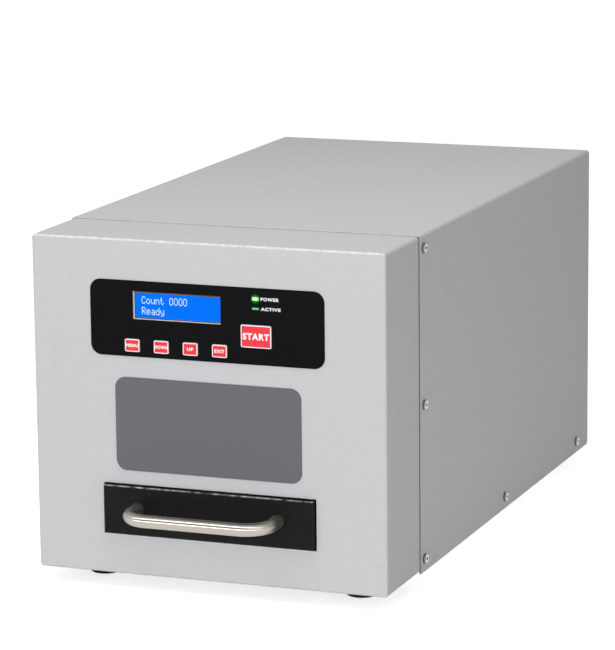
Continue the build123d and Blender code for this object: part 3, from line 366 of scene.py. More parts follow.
def seam_mask(tree):
    """Mask that is 1 between the two covers, deeper than the wrap cover's skin."""
    axes = object_axes(tree)
    behind = maths(tree, "GREATER_THAN", axes["Y"], seam_front)
    before = maths(tree, "LESS_THAN", axes["Y"], seam_back)
    sideways = maths(tree, "LESS_THAN", maths(tree, "ABSOLUTE", axes["X"]), wrap_high.x - side_skin)
    under = maths(tree, "LESS_THAN", axes["Z"], wrap_high.z - top_skin)
    between = maths(tree, "MULTIPLY", behind, before)
    return maths(tree, "MULTIPLY", between, maths(tree, "MULTIPLY", sideways, under))


print("seam from front to back in mm:", round(seam_front / MM, 2), round(seam_back / MM, 2))


# %% Masks for painted edge highlights and for the window
diagonal = math.sqrt(0.5)
fold_direction = (0.0, -diagonal, diagonal)
fold_low, fold_high = 0.80, 0.97


def fold_mask(tree, reach):
    """Mask that is 1 on edges that look up and to the front, towards the lamps, where a painted highlight
    goes.
    """
    edge = use_group(tree, edge_tree, Radius=reach)
    facing = add_node(
        tree, "VectorMath", {"operation": "DOT_PRODUCT"}, {0: edge["Normal"], 1: fold_direction}
    )
    limits = {"Value": facing.outputs["Value"], "From Min": fold_low, "From Max": fold_high}
    return add_node(tree, "MapRange", {"interpolation_type": "SMOOTHSTEP"}, limits).outputs[0]


def patches(tree, per_metre, detail, low, high):
    """Mask of uneven patches: noise, stretched so that low becomes 0 and high becomes 1."""
    place = add_node(tree, "TexCoord").outputs["Object"]
    inputs = {"Vector": place, "Scale": per_metre, "Detail": detail}
    noise = add_node(tree, "TexNoise", None, inputs).outputs["Fac"]
    return add_node(tree, "MapRange", None, {"Value": noise, "From Min": low, "From Max": high}).outputs[0]


def inside_mask(tree, low, high, inset):
    """Mask that is 1 inside a rectangle, seen from the front, whose sides are drawn in by an inset."""
    axes = object_axes(tree)
    insides = []
    for axis, start, end in (("X", low.x, high.x), ("Z", low.z, high.z)):
        offset = maths(tree, "ABSOLUTE", maths(tree, "SUBTRACT", axes[axis], (start + end) / 2))
        insides.append(maths(tree, "LESS_THAN", offset, (end - start) / 2 - inset))
    return maths(tree, "MULTIPLY", *insides)


window_low = Vector((-55.4, 0, 186.0)) * MM + Vector((0, 0, cover_low.z))
window_high = Vector((11.0, 0, 206.0)) * MM + Vector((0, 0, cover_low.z))
print("window in mm:", [round(side / MM, 1) for side in window_high - window_low])

# %% Painted edge highlights, painted seam shade and painted wall light over the paint
seam_shade = (0.20, 0.20, 0.205, 1)
painted_wall_light = (0.95, 0.80, 0.45, 1)
wall_allowance = 0.1 * MM
fold_reach = 2.4 * MM
highlight_patch_scale = 350.0
tree, shader, painted = so_far(powder_coat)
# Painted highlight: edges that face the lamps are painted pale, in uneven patches.
painted_edge_highlight = maths(tree, "MULTIPLY", fold_mask(tree, fold_reach), patches(tree, highlight_patch_scale, 3.0, 0.30, 0.62))
painted = mixed(tree, painted_edge_highlight, painted, (*rubbed_paint, 1))
# Painted shade: the seam between the covers, below the wrap cover's skin, is painted dark.
painted = mixed(tree, seam_mask(tree), painted, seam_shade)
# Painted light: the window's cut walls lie in shade and are painted a pale, warm cream, brighter than the
# coat.
window_walls = inside_mask(tree, window_low, window_high, -wall_allowance)
tree.links.new(mixed(tree, window_walls, painted, painted_wall_light), shader.inputs["Base Color"])
print("masks over", powder_coat.name, "done")

# %% [markdown]
# ## Bare metal
# The base, the rear panel and the shelf are zinc-plated sheet, which is dull and shows a faint
# patchwork of grain. The fan's guard and the screws are plated bright. On the case screws the flat
# of each head is painted bright as a highlight, while its rounded rim and its recess are painted dark
# as shade. A mask finds the flat by how far out from the case it lies, and the edge effect keeps off
# its edges.

# %% Plated sheet and bright plating
zinc_plate = grained_finish(
    "zinc_plate", (0.42, 0.43, 0.45), (0.34, 0.54), 2.5, 0.01,
    drift=0.35, drift_mm=9, metal=1.0, edge_gain=1.0,
)
give(zinc_plate, "base_pan", "rear_panel", "equipment_shelf", "board_standoffs", "charger_standoffs")
bright_plate = grained_finish(
    "bright_plate", (0.72, 0.72, 0.73), (0.16, 0.30), 0.5, 0.004,
    drift=0.15, drift_mm=4, metal=1.0, edge_mm=0.25, edge_gain=1.0,
)
give(bright_plate, "fan_guard")
screw_plate = grained_finish(
    "screw_plate", (0.72, 0.71, 0.70), (0.12, 0.24), 0.5, 0.01,
    drift=0.3, drift_mm=3, metal=1.0, edge_mm=0.3, edge_gain=2.0, rubbed=(0.95, 0.94, 0.93),
)
give(screw_plate, "rear_screws", "coil_screws", "foot_screws", "handle_screws", "tray_screws", "fan_screws")

# %% Case screws: painted highlight on the flat of the head, painted shade on the rim and recess
case_screw_plate = screw_plate.copy()
case_screw_plate.name = "case_screw_plate"
head_skin = 0.15 * MM
head_edge = 0.8 * MM
# Painted shade on the rim and in the recess, and a painted highlight on the flat of each head.
painted_rim_shade = (0.20, 0.195, 0.19, 1)
tree, shader, bright = so_far(case_screw_plate)
out = maths(tree, "ABSOLUTE", object_axes(tree)["X"])
flat_face = maths(tree, "GREATER_THAN", out, cad_high.x - head_skin)
near_edge = use_group(tree, edge_tree, Radius=head_edge, Gain=8.0, Patchiness=0.0)["Edge"]
painted_flat_highlight = maths(tree, "MULTIPLY", flat_face, maths(tree, "SUBTRACT", 1.0, near_edge))
tree.links.new(mixed(tree, painted_flat_highlight, painted_rim_shade, bright), shader.inputs["Base Color"])
give(case_screw_plate, "cover_screws")

# %% [markdown]
# ## The handle
# The handle is one stainless rod, bent twice and polished by a belt that ran round it. Such a finish
# is sharp across the rod and soft along it, which Blender calls anisotropic. It needs to know which
# way the rod runs, so the rod is made again here as rings of points along the same line as the solid
# it stands for, with a map whose U runs along the rod for the Tangent node to read.


# %% Metal with drawn lines
def drawn_metal(name, colour, roughness, stretch, line_mm, relief_mm):
    """Metal with fine lines along one direction: the stretch is longest along the lines."""
    material, tree, shader = new_material(name)
    lines = use_group(tree, drawn_tree, Stretch=stretch, Size=line_mm * MM)
    drift = use_group(tree, drift_tree, Colour=(*colour, 1), Size=15 * MM, Amount=0.06)
    tree.links.new(drift["Colour"], shader.inputs["Base Color"])
    low, high = roughness
    tree.links.new(spread(tree, lines["Height"], low, high), shader.inputs["Roughness"])
    bump = add_node(
        tree, "Bump", None, {"Strength": 1.0, "Distance": relief_mm * MM, "Height": lines["Height"]}
    )
    tree.links.new(bump.outputs[0], shader.inputs["Normal"])
    shader.inputs["Metallic"].default_value = 1.0
    return material


def mesh_piece(name, shape, material, body):
    """Turn a bmesh into a piece that rides on a body of the machine."""
    mesh = bpy.data.meshes.new(name)
    shape.to_mesh(mesh)
    shape.free()
    mesh.materials.append(material)
    piece = bpy.data.objects.new(name, mesh)
    bpy.context.scene.collection.objects.link(piece)
    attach(piece, body)
    return piece


# %% Line of the rod
rod_low, rod_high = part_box("drawer_handle")
rod_radius = (rod_high.z - rod_low.z) / 2
rod_half = rod_high.x - rod_radius
bar_y = rod_low.y + rod_radius
rod_z = (rod_low.z + rod_high.z) / 2
bend_radius = 18.0 * MM
bend_steps = 20
corner_x = rod_half - bend_radius
corner_y = bar_y + bend_radius
right_side = [(Vector((rod_half, rod_high.y, rod_z)), Vector((0, 1, 0)))]
for step in range(bend_steps + 1):
    angle = math.pi / 2 * step / bend_steps
    outward = Vector((math.cos(angle), -math.sin(angle), 0))
    along = Vector((math.sin(angle), math.cos(angle), 0))
    right_side.append((Vector((corner_x, corner_y, rod_z)) + bend_radius * outward, along))
left_side = [
    (Vector((-at.x, at.y, at.z)), Vector((along.x, -along.y, 0))) for at, along in reversed(right_side)
]
rod_line = right_side + left_side
print("rod diameter in mm:", round(2 * rod_radius / MM, 2), "rings:", len(rod_line))

# %% Rings and map of the rod
ring_points = 48
rod_shape = bmesh.new()
rod_map = rod_shape.loops.layers.uv.new("along_rod")
rings = []
for at, along in rod_line:
    side = along.cross(Vector((0, 0, 1)))
    turns = [2 * math.pi * point / ring_points for point in range(ring_points)]
    ring = [at + rod_radius * (math.cos(t) * side + math.sin(t) * Vector((0, 0, 1))) for t in turns]
    rings.append([rod_shape.verts.new(corner) for corner in ring])
for place, (ring, following) in enumerate(zip(rings, rings[1:])):
    for point in range(ring_points):
        beside = (point + 1) % ring_points
        face = rod_shape.faces.new((ring[point], ring[beside], following[beside], following[point]))
        face.smooth = True
        for loop, (u, v) in zip(face.loops, ((0, 0), (0, 1), (1, 1), (1, 0))):
            loop[rod_map].uv = ((place + u) / len(rings), (point + v) / ring_points)
bmesh.ops.recalc_face_normals(rod_shape, faces=rod_shape.faces[:])
print("rings of points:", len(rings), "of", ring_points)

# %% Polished rod
stainless = drawn_metal(
    "stainless_rod", (0.40, 0.372, 0.335), (0.18, 0.24), (120.0, 1.0, 1.0), 0.35, 0.0002
)
tree, shader = so_far(stainless)[:2]
run = add_node(tree, "Tangent", {"direction_type": "UV_MAP", "uv_map": "along_rod"})
tree.links.new(run.outputs[0], shader.inputs["Tangent"])
shader.inputs["Anisotropic"].default_value = 1.0
handle = mesh_piece("polished_rod", rod_shape, stainless, "drawer")
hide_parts("drawer_handle")
print("rod faces:", len(handle.data.polygons))

# %% [markdown]
# ## Rubber, plastics and films
# The overlay and the name plate are printed films with a fine matt texture. The drawer front is
# satin black, and its edges that look up and forward are painted pale in patches: partly wear and
# partly a painted highlight. Feet are rubber. The fan, the inlet, the switches and the power module
# are black mouldings with a spark-eroded grain.

# %% Black and grey pieces
foot_rubber = grained_finish("foot_rubber", (0.008, 0.008, 0.008), (0.70, 0.85), 0.7, 0.05, specular=0.1)
give(foot_rubber, "rubber_feet")
drawer_satin = grained_finish(
    "drawer_satin", (0.005, 0.005, 0.005), (0.28, 0.42), 0.6, 0.01,
    drift=0.5, drift_mm=18, edge_mm=0.5, edge_gain=3.0, edge_patches=1.0, rubbed=(0.22, 0.225, 0.23),
    specular=0.09,
)
# Painted highlight with wear: the drawer's upper front edges are painted a pale blue-grey in patches.
bared_and_highlight_edge = (0.42, 0.44, 0.47, 1)
knock_and_highlight_reach = 0.45 * MM
knock_scale = 240.0
tree, shader, satin = so_far(drawer_satin)
drawer_worn_highlight = maths(tree, "MULTIPLY", fold_mask(tree, knock_and_highlight_reach), patches(tree, knock_scale, 4.0, 0.38, 0.70))
tree.links.new(mixed(tree, drawer_worn_highlight, satin, bared_and_highlight_edge), shader.inputs["Base Color"])
give(drawer_satin, "drawer_front")
moulded_black = grained_finish(
    "moulded_black", (0.014, 0.014, 0.015), (0.45, 0.6), 0.35, 0.02, drift=0.2, edge_mm=0.4, specular=0.25,
)
give(
    moulded_black, "drawer_tray", "fan_frame", "fan_rotor", "mains_inlet", "power_rocker",
    "discharge_module", "key_switches", "drawer_sensor", "charger_relays",
)
plate_film = grained_finish(
    "plate_film", (0.130, 0.131, 0.151), (0.5, 0.58), 0.25, 0.006, drift=0.03, edge_mm=0.2, specular=0.2,
)
give(plate_film, "name_plate")

# %% Display frame, pale with a brown lip at the glass, and a painted glow on its pale walls
pale_glowing_bezel = grained_finish(
    "pale_glowing_bezel", (0.92, 0.80, 0.50), (0.35, 0.5), 0.6, 0.006, drift=0.1, edge_mm=0.1, edge_gain=0.0,
)
unlit = (0, 0, 0, 1)
lip_depth = 0.9 * MM
lip_brown = (0.075, 0.045, 0.03, 1)
# Painted light: the frame's pale walls glow with a warm emission though the frame is no lamp, and their pale
# base stands in for light on walls that lie in shade.
painted_frame_glow = (0.34, 0.29, 0.20, 1)
tree, shader, pale = so_far(pale_glowing_bezel)
deep = maths(tree, "GREATER_THAN", object_axes(tree)["Y"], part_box("display_glass")[0].y - lip_depth)
tree.links.new(mixed(tree, deep, pale, lip_brown), shader.inputs["Base Color"])
tree.links.new(mixed(tree, deep, painted_frame_glow, unlit), shader.inputs["Emission Color"])
shader.inputs["Emission Strength"].default_value = 1.0
give(pale_glowing_bezel, "display_bezel")

# %% [markdown]
# ## Pieces inside the case
# These show through the fan's grille, the vents and the drawer's opening. Laminate, enamelled
# copper, drawn cans and stacked core sheets each keep their own marks: a fine grain, turns of wire,
# drawing lines and lamination edges. The grooves between turns and between sheets are painted
# darker, a painted shade.


# %% Layered pieces
def layered_finish(name, colour, roughness, axis, pitch_mm, relief_mm, metal=0.0, dark=0.7):
    """Turns of wire or stacked sheets: even lines across one axis, with grooves between them painted darker
    as shade.
    """
    material, tree, shader = new_material(name)
    turns = maths(tree, "DIVIDE", object_axes(tree)[axis], pitch_mm * MM)
    ridge = maths(tree, "ABSOLUTE", maths(tree, "SINE", maths(tree, "MULTIPLY", turns, math.pi)))
    drift = use_group(tree, drift_tree, Colour=(*colour, 1), Size=30 * MM, Amount=0.3)
    # Painted shade: the grooves get the colour made darker.
    groove = (*[c * dark for c in colour], 1)
    tree.links.new(mixed(tree, ridge, groove, drift["Colour"]), shader.inputs["Base Color"])
    low, high = roughness
    tree.links.new(spread(tree, drift["Mask"], low, high), shader.inputs["Roughness"])
    bump = add_node(tree, "Bump", None, {"Strength": 1.0, "Distance": relief_mm * MM, "Height": ridge})
    tree.links.new(bump.outputs[0], shader.inputs["Normal"])
    shader.inputs["Metallic"].default_value = metal
    return material


wound_copper = layered_finish("wound_copper", (0.72, 0.33, 0.16), (0.25, 0.4), "Y", 1.6, 0.4, metal=1.0)
give(wound_copper, "coil_winding")
fine_copper = layered_finish("fine_copper", (0.66, 0.30, 0.14), (0.3, 0.45), "Z", 0.9, 0.25, metal=1.0)
give(fine_copper, "transformer_winding")
core_sheets = layered_finish("core_sheets", (0.10, 0.10, 0.11), (0.4, 0.6), "Y", 0.5, 0.05)
give(core_sheets, "transformer_core")
choke_turns = layered_finish("choke_turns", (0.45, 0.20, 0.08), (0.3, 0.45), "X", 1.2, 0.3)
give(choke_turns, "charger_choke")
solder_mask = layered_finish("solder_mask", (0.02, 0.16, 0.06), (0.3, 0.45), "X", 2.54, 0.03)
give(solder_mask, "charger_board", "control_board", "display_board")
copper_bar = drawn_metal("copper_bar", (0.72, 0.38, 0.22), (0.25, 0.4), (40.0, 1.0, 1.0), 0.4, 0.01)
give(copper_bar, "bus_bars")
drawn_can = drawn_metal("drawn_can", (0.76, 0.77, 0.78), (0.3, 0.42), (1.0, 1.0, 50.0), 0.4, 0.01)
give(drawn_can, "capacitors", "heat_sink", "bleed_resistor")
laminate = grained_finish(
    "paper_laminate", (0.25, 0.13, 0.05), (0.35, 0.5), 0.8, 0.02, drift=0.35, drift_mm=10,
)
give(laminate, "coil_former", "capacitor_cradle")
acetal = grained_finish("white_acetal", (0.78, 0.78, 0.75), (0.4, 0.5), 0.5, 0.01, rubbed=(0.7, 0.7, 0.66))
give(acetal, "tray_runners")
pin_plate = grained_finish("pin_plate", (0.75, 0.70, 0.58), (0.2, 0.35), 0.4, 0.004, metal=1.0)
give(pin_plate, "inlet_pins")

# %% [markdown]
# ## The control panel
# The keys are red caps with a white printed frame, and their words are printed in bold white. The
# frame is a mask worked out from the distance to the cap's edge, in the cap's own place, so that it
# stays sharp at any size. The film round them is black, with a painted green glow round the lit lamp.

# %% Red key caps
key_red = (0.82, 0.022, 0.042)
print_white = (0.92, 0.92, 0.93)
key_border = 0.75 * MM
cap_flange = 1.0 * MM


def key_finish(name):
    """Satin red cap with a white frame round its face."""
    material, tree, shader = new_material(name + "_finish")
    low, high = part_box(name)
    inside = inside_mask(tree, low, high, cap_flange + key_border)
    red = use_group(tree, drift_tree, Colour=(*key_red, 1), Size=4 * MM, Amount=0.15)
    base = mixed(tree, inside, (*print_white, 1), red["Colour"])
    tree.links.new(base, shader.inputs["Base Color"])
    grain = use_group(tree, grain_tree, Size=0.3 * MM, Sharpness=0.5)
    tree.links.new(spread(tree, grain["Height"], 0.35, 0.5), shader.inputs["Roughness"])
    edge = use_group(tree, edge_tree, Radius=0.3 * MM)
    bump = add_node(
        tree,
        "Bump",
        None,
        {"Strength": 1.0, "Distance": 0.004 * MM, "Height": grain["Height"], "Normal": edge["Normal"]},
    )
    tree.links.new(bump.outputs[0], shader.inputs["Normal"])
    shader.inputs["Specular IOR Level"].default_value = 0.35
    return material


key_words = {
    "key_menu": "MENU", "key_down": "DOWN", "key_up": "UP", "key_exit": "EXIT", "key_start": "START",
}
for key in key_words:
    give(key_finish(key), key)

# %% Black overlay with the lamp's glow
overlay_film, tree, shader = new_material("overlay_film")
grain = use_group(tree, grain_tree, Size=0.9 * MM, Sharpness=0.6)
drift = use_group(tree, drift_tree, Colour=(0.0034, 0.0036, 0.0044, 1), Size=30 * MM, Amount=0.3)
fleck_colour = (0.017, 0.018, 0.021, 1)
tree.links.new(mixed(tree, grain["Fleck"], drift["Colour"], fleck_colour), shader.inputs["Base Color"])
tree.links.new(spread(tree, grain["Height"], 0.42, 0.6), shader.inputs["Roughness"])
bump = add_node(tree, "Bump", None, {"Strength": 1.0, "Distance": 0.01 * MM, "Height": grain["Height"]})
tree.links.new(bump.outputs[0], shader.inputs["Normal"])
lamp_low, lamp_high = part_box("power_lamp")
lamp_middle = (lamp_low + lamp_high) / 2
lamp_middle.y = lamp_low.y
# Painted glow: the black film round the lamp is given a green emission that falls off with distance.
glow_reach = 4.0 * MM
glow_falloff = 1.8
lamp_green = (0.02, 0.75, 0.03)
place = add_node(tree, "TexCoord").outputs["Object"]
away = add_node(tree, "VectorMath", {"operation": "DISTANCE"}, {0: place, 1: lamp_middle}).outputs["Value"]
near = maths(tree, "SUBTRACT", 1.0, maths(tree, "DIVIDE", away, glow_reach), clamp=True)
glow = maths(tree, "POWER", near, glow_falloff)
tree.links.new(mixed(tree, glow, unlit, (*lamp_green, 1)), shader.inputs["Emission Color"])
shader.inputs["Emission Strength"].default_value = 1.0
shader.inputs["Specular IOR Level"].default_value = 0.035
give(overlay_film, "control_overlay")


# %% Lamps
def lamp_finish(name, rim, core, core_share):
    """Green lens that is brightest in its middle."""
    material, tree, shader = new_material(name + "_finish")
    low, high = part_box(name)
    middle = (low + high) / 2
    axes = object_axes(tree)
    across = maths(tree, "DIVIDE", maths(tree, "SUBTRACT", axes["X"], middle.x), (high.x - low.x) / 2)
    rise = maths(tree, "DIVIDE", maths(tree, "SUBTRACT", axes["Z"], middle.z), (high.z - low.z) / 2)
    square = maths(tree, "ADD", maths(tree, "POWER", across, 2.0), maths(tree, "POWER", rise, 2.0))
    bright = maths(tree, "SUBTRACT", 1.0, maths(tree, "POWER", square, 2.0), clamp=True)
    bright = maths(tree, "MULTIPLY", bright, core_share)
    tree.links.new(mixed(tree, bright, (*rim, 1), (*core, 1)), shader.inputs["Emission Color"])
    shader.inputs["Emission Strength"].default_value = 1.0
    shader.inputs["Base Color"].default_value = (0.02, 0.12, 0.03, 1)
    shader.inputs["Roughness"].default_value = 0.3
    return material


give(lamp_finish("power_lamp", lamp_green, (0.85, 1.0, 0.82), 1.0), "power_lamp")
give(lamp_finish("active_lamp", (0.03, 0.36, 0.10), (0.10, 0.55, 0.22), 0.8), "active_lamp")

# %% [markdown]
# ## The display
# A character display of this kind is a blue panel, lit from its edges, with two rows of cells made
# of small square dots. The blue is an emission colour at strength 1, a little darker towards the
# ends, with an unlit brown margin at three sides. The lit dots are a mesh of their own, because dots
# that are real squares keep their shape from close by.

# %% Blue glass
glass_low, glass_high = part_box("display_glass")
glass_middle = (glass_low + glass_high) / 2
display_glass, tree, shader = new_material("lit_blue_glass")
blue_middle, blue_ends = (0.0, 0.170, 1.0, 1), (0.0, 0.12, 0.82, 1)
end_dimming = 0.35
axes = object_axes(tree)
ends = maths(tree, "SUBTRACT", axes["X"], glass_middle.x)
ends = maths(tree, "ABSOLUTE", maths(tree, "DIVIDE", ends, (glass_high.x - glass_low.x) / 2))
dim = maths(tree, "MULTIPLY", maths(tree, "POWER", ends, 4.0), end_dimming)
blue = mixed(tree, dim, blue_middle, blue_ends)
glass_dark, margin_brown = (0.0, 0.01, 0.03, 1), (0.16, 0.085, 0.04, 1)
low_lip, high_lip, left_lip = 0.5 * MM, 1.75 * MM, 0.45 * MM
above = maths(tree, "GREATER_THAN", axes["Z"], window_high.z - high_lip)
below = maths(tree, "LESS_THAN", axes["Z"], window_low.z + low_lip)
beside = maths(tree, "LESS_THAN", axes["X"], window_low.x + left_lip)
margin = maths(tree, "ADD", maths(tree, "ADD", above, below), beside, clamp=True)
tree.links.new(mixed(tree, margin, blue, unlit), shader.inputs["Emission Color"])
tree.links.new(mixed(tree, margin, glass_dark, margin_brown), shader.inputs["Base Color"])
shader.inputs["Emission Strength"].default_value = 1.0
shader.inputs["Roughness"].default_value = 0.35
shader.inputs["Specular IOR Level"].default_value = 0.02
give(display_glass, "display_glass")

# %% Lit dots of the two lines
dot_letters = {
    "C": (".###.", "#...#", "#....", "#....", "#....", "#...#", ".###."),
    "o": (".....", ".....", ".###.", "#...#", "#...#", "#...#", ".###."),
    "u": (".....", ".....", "#...#", "#...#", "#...#", "#..##", ".##.#"),
    "n": (".....", ".....", "#.##.", "##..#", "#...#", "#...#", "#...#"),
    "t": (".#...", ".#...", "###..", ".#...", ".#...", ".#..#", "..##."),
    "0": (".###.", "#...#", "#...#", "#...#", "#...#", "#...#", ".###."),
    "R": ("####.", "#...#", "#...#", "####.", "#.#..", "#..#.", "#...#"),
    "e": (".....", ".....", ".###.", "#...#", "#####", "#....", ".###."),
    "a": (".....", ".....", ".###.", "....#", ".####", "#...#", ".####"),
    "d": ("....#", "....#", ".##.#", "#..##", "#...#", "#...#", ".####"),
    "y": (".....", ".....", "#...#", "#...#", "#...#", ".####", "....#", ".###."),
}
dot_across, dot_down = 0.59 * MM, 0.757 * MM
dot_fill = 0.8
dot_relief = 0.03 * MM
cell_pitch = 3.5 * MM
text_left = -50.3 * MM
line_tops = {"Count 0000": cover_low.z + 201.8 * MM, "Ready": cover_low.z + 194.2 * MM}


def lit_dots(shape, words, top):
    """Add one thin block for every lit dot of a line of characters."""
    for place, letter in enumerate(words):
        for row, dots in enumerate(dot_letters.get(letter, ())):
            for column, dot in enumerate(dots):
                if dot != "#":
                    continue
                x = text_left + place * cell_pitch + (column + 0.5) * dot_across
                z = top - (row + 0.5) * dot_down
                size = Matrix.Diagonal((dot_fill * dot_across, dot_relief, dot_fill * dot_down, 1))
                spot = Matrix.Translation((x, glass_low.y - dot_relief / 2, z))
                bmesh.ops.create_cube(shape, size=1.0, matrix=spot @ size)


lit_dot, tree, shader = new_material("lit_dot")
dot_tone = use_group(tree, drift_tree, Colour=(0.66, 0.84, 1.0, 1), Size=2 * MM, Amount=0.1)
tree.links.new(dot_tone["Colour"], shader.inputs["Emission Color"])
shader.inputs["Emission Strength"].default_value = 1.0
shader.inputs["Base Color"].default_value = (0.1, 0.2, 0.3, 1)
shape = bmesh.new()
for words, top in line_tops.items():
    lit_dots(shape, words, top)
dots = mesh_piece("display_dots", shape, lit_dot, "chassis")
print("lit dots:", len(dots.data.polygons) // 6)

# %% [markdown]
# ## Printed words
# The words on the keys and beside the lamps are printed in bold white. Blender's text object sets
# them. Its own letters are thin, so a bevel thickens every stroke, and the whole word is then pressed
# flat into a film of ink that is half sunk in the face and moves with the key it is on.

# %% Words on the keys and beside the lamps
white_print, tree, shader = new_material("white_print")
ink = use_group(tree, drift_tree, Colour=(*print_white, 1), Size=1.5 * MM, Amount=0.08)
tree.links.new(ink["Colour"], shader.inputs["Base Color"])
ink_grain = use_group(tree, grain_tree, Size=0.2 * MM, Sharpness=0.5)
tree.links.new(spread(tree, ink_grain["Height"], 0.45, 0.6), shader.inputs["Roughness"])
bump = add_node(tree, "Bump", None, {"Strength": 1.0, "Distance": 0.002 * MM, "Height": ink_grain["Height"]})
tree.links.new(bump.outputs[0], shader.inputs["Normal"])
print_depth = 0.04 * MM
stroke_thickening = 0.05
letter_spacing = 1.18


def printed_word(name, words, middle, width, height, body):
    """A word in bold capitals, sized to a box, standing just proud of a face that looks to the front."""
    curve = bpy.data.curves.new(name, "FONT")
    curve.body = words
    curve.bevel_depth = stroke_thickening
    curve.bevel_resolution = 1
    curve.space_character = letter_spacing
    setter = bpy.data.objects.new(name + "_setter", curve)
    bpy.context.scene.collection.objects.link(setter)
    bpy.context.view_layer.update()
    flat = bpy.data.meshes.new_from_object(setter)
    bpy.data.objects.remove(setter)
    shape = bmesh.new()
    shape.from_mesh(flat)
    bpy.data.meshes.remove(flat)
    corners = [vert.co for vert in shape.verts]
    low = Vector([min(c[axis] for c in corners) for axis in range(3)])
    high = Vector([max(c[axis] for c in corners) for axis in range(3)])
    sizes = (width, height, 2 * print_depth)
    sizing = Matrix.Diagonal([size / span for size, span in zip(sizes, high - low)]).to_4x4()
    upright = Matrix.Translation(middle) @ Matrix.Rotation(math.pi / 2, 4, "X")
    shape.transform(upright @ sizing @ Matrix.Translation(-(low + high) / 2))
    return mesh_piece(name, shape, white_print, body)


key_word_sizes = {
    "key_menu": (9.6, 2.4), "key_down": (9.8, 2.4), "key_up": (4.8, 2.4), "key_exit": (7.6, 2.4),
    "key_start": (19.8, 4.8),
}
for key, (width, height) in key_word_sizes.items():
    low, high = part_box(key)
    middle = Vector(((low.x + high.x) / 2, low.y, (low.z + high.z) / 2))
    printed_word(key + "_word", key_words[key], middle, width * MM, height * MM, key)
overlay_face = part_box("control_overlay")[0].y
lamp_words = {"power_lamp": ("POWER", 13.6, 2.4), "active_lamp": ("ACTIVE", 14.8, 2.3)}
word_gap = 1.4 * MM
for lamp, (word, width, height) in lamp_words.items():
    low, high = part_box(lamp)
    middle = Vector((high.x + word_gap + width * MM / 2, overlay_face, (low.z + high.z) / 2))
    printed_word(lamp + "_word", word, middle, width * MM, height * MM, "chassis")
print("printed words:", len(key_word_sizes) + len(lamp_words))

# %% [markdown]
# ## Floor and light
# The machine stands on a plain white floor. A softbox above its front edge lights the top, which falls
# off towards the back. A larger one stands in front, and a weak one low on the right, with an even
# white room round them. Cards that only metal sees put grey and white lines into the bright steel.
# The floor is white to the camera and to mirror reflections, while it bounces less light than that
# back at the case, as a floor does that fades into the dark of a studio. It keeps a soft shadow.


# %% White floor
def seen_rays(tree):
    """Mask that is 1 for the camera and for rays off metal or through glass, and 0 for bounced light."""
    rays = add_node(tree, "LightPath").outputs
    seen = maths(tree, "ADD", rays["Is Camera Ray"], rays["Is Glossy Ray"])
    return maths(tree, "ADD", seen, rays["Is Transmission Ray"], clamp=True)


floor_radius = 30.0
floor_bounce = 0.80
floor_lift = 0.66
floor_shape = bmesh.new()
bmesh.ops.create_circle(floor_shape, cap_ends=True, segments=96, radius=floor_radius)
floor_mesh = bpy.data.meshes.new("floor")
floor_shape.to_mesh(floor_mesh)
floor_shape.free()
floor = bpy.data.objects.new("floor", floor_mesh)
bpy.context.scene.collection.objects.link(floor)
floor_white, tree, shader = new_material("floor_white")
seen = seen_rays(tree)
bounced = (floor_bounce, floor_bounce, floor_bounce, 1)
tree.links.new(mixed(tree, seen, bounced, (1, 1, 1, 1)), shader.inputs["Base Color"])
lifted = (floor_lift, floor_lift, floor_lift, 1)
tree.links.new(mixed(tree, seen, unlit, lifted), shader.inputs["Emission Color"])
shader.inputs["Emission Strength"].default_value = 1.0
shader.inputs["Roughness"].default_value = 1.0
shader.inputs["Specular IOR Level"].default_value = 0.0
floor_mesh.materials.append(floor_white)
print("floor radius in m:", floor_radius)

# %% White room
room_light = 0.35
world = bpy.data.worlds.new("white_room")
bpy.context.scene.world = world
world.use_nodes = True
tree = world.node_tree
background = tree.nodes["Background"]
background.inputs["Color"].default_value = (1, 1, 1, 1)
tree.links.new(spread(tree, seen_rays(tree), room_light, 1.0), background.inputs["Strength"])
print("room light:", room_light)

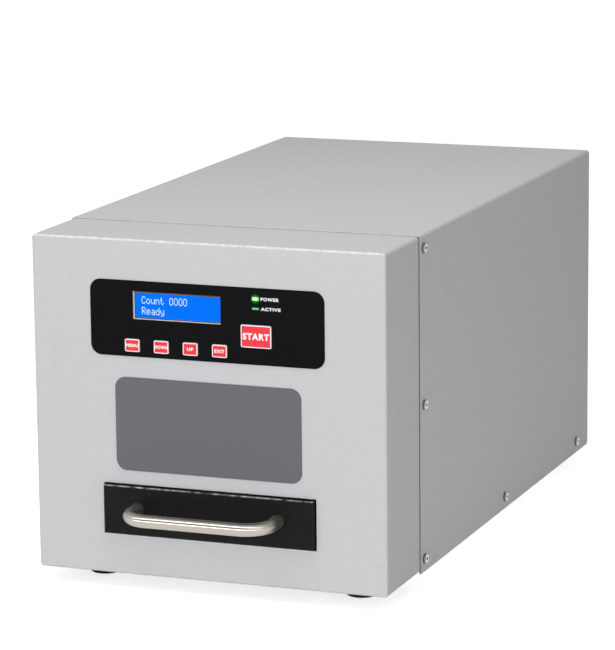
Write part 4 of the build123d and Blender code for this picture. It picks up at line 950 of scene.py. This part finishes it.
# %% Softboxes
softboxes = {
    "overhead_softbox": ((0.05, -0.40, 1.30), (0.0, -0.15, 0.25), 0.6, 6.6),
    "front_softbox": ((0.05, -3.00, 0.40), (0.0, 0.00, 0.12), 1.0, 41.3),
    "side_softbox": ((0.85, -0.22, 0.06), (0.13, -0.12, 0.05), 0.4, 0.75),
}
for name, (place, aim, side, power) in softboxes.items():
    lamp_data = bpy.data.lights.new(name, "AREA")
    lamp_data.size = side
    lamp_data.energy = power
    lamp = bpy.data.objects.new(name, lamp_data)
    lamp.location = place
    lamp.rotation_mode = "QUATERNION"
    lamp.rotation_quaternion = (Vector(aim) - Vector(place)).to_track_quat("-Z", "Y")
    lamp.visible_camera = False
    lamp.visible_glossy = False
    bpy.context.scene.collection.objects.link(lamp)
bpy.context.scene.view_settings.view_transform = "Standard"
print("softboxes:", list(softboxes))

# %% Cards that only metal sees
card_half = 6.0
cards = {
    "low_white_card": ((-3.4, 0.34), (-3.4, 1.10), 5.5),
    "grey_card": ((-3.4, 1.10), (-3.4, 3.20), 0.5),
    "high_white_card": ((-2.88, 2.86), (-1.38, 2.79), 4.0),
    "overhead_card": ((-1.24, 2.70), (0.80, 2.70), 0.7),
}
for name, (first, second, glow) in cards.items():
    card_finish, tree, shader = new_material(name + "_finish")
    shader.inputs["Base Color"].default_value = (0.0, 0.0, 0.0, 1)
    shader.inputs["Specular IOR Level"].default_value = 0.0
    shader.inputs["Emission Color"].default_value = (1, 1, 1, 1)
    shader.inputs["Emission Strength"].default_value = glow
    corners = [(-card_half, *first), (card_half, *first), (card_half, *second), (-card_half, *second)]
    card_shape = bmesh.new()
    card_shape.faces.new([card_shape.verts.new(corner) for corner in corners])
    card_mesh = bpy.data.meshes.new(name)
    card_shape.to_mesh(card_mesh)
    card_shape.free()
    card_mesh.materials.append(card_finish)
    card = bpy.data.objects.new(name, card_mesh)
    bpy.context.scene.collection.objects.link(card)
    card.visible_camera = False
    card.visible_diffuse = False
    card.visible_transmission = False
    card.visible_shadow = False
print("cards:", list(cards))
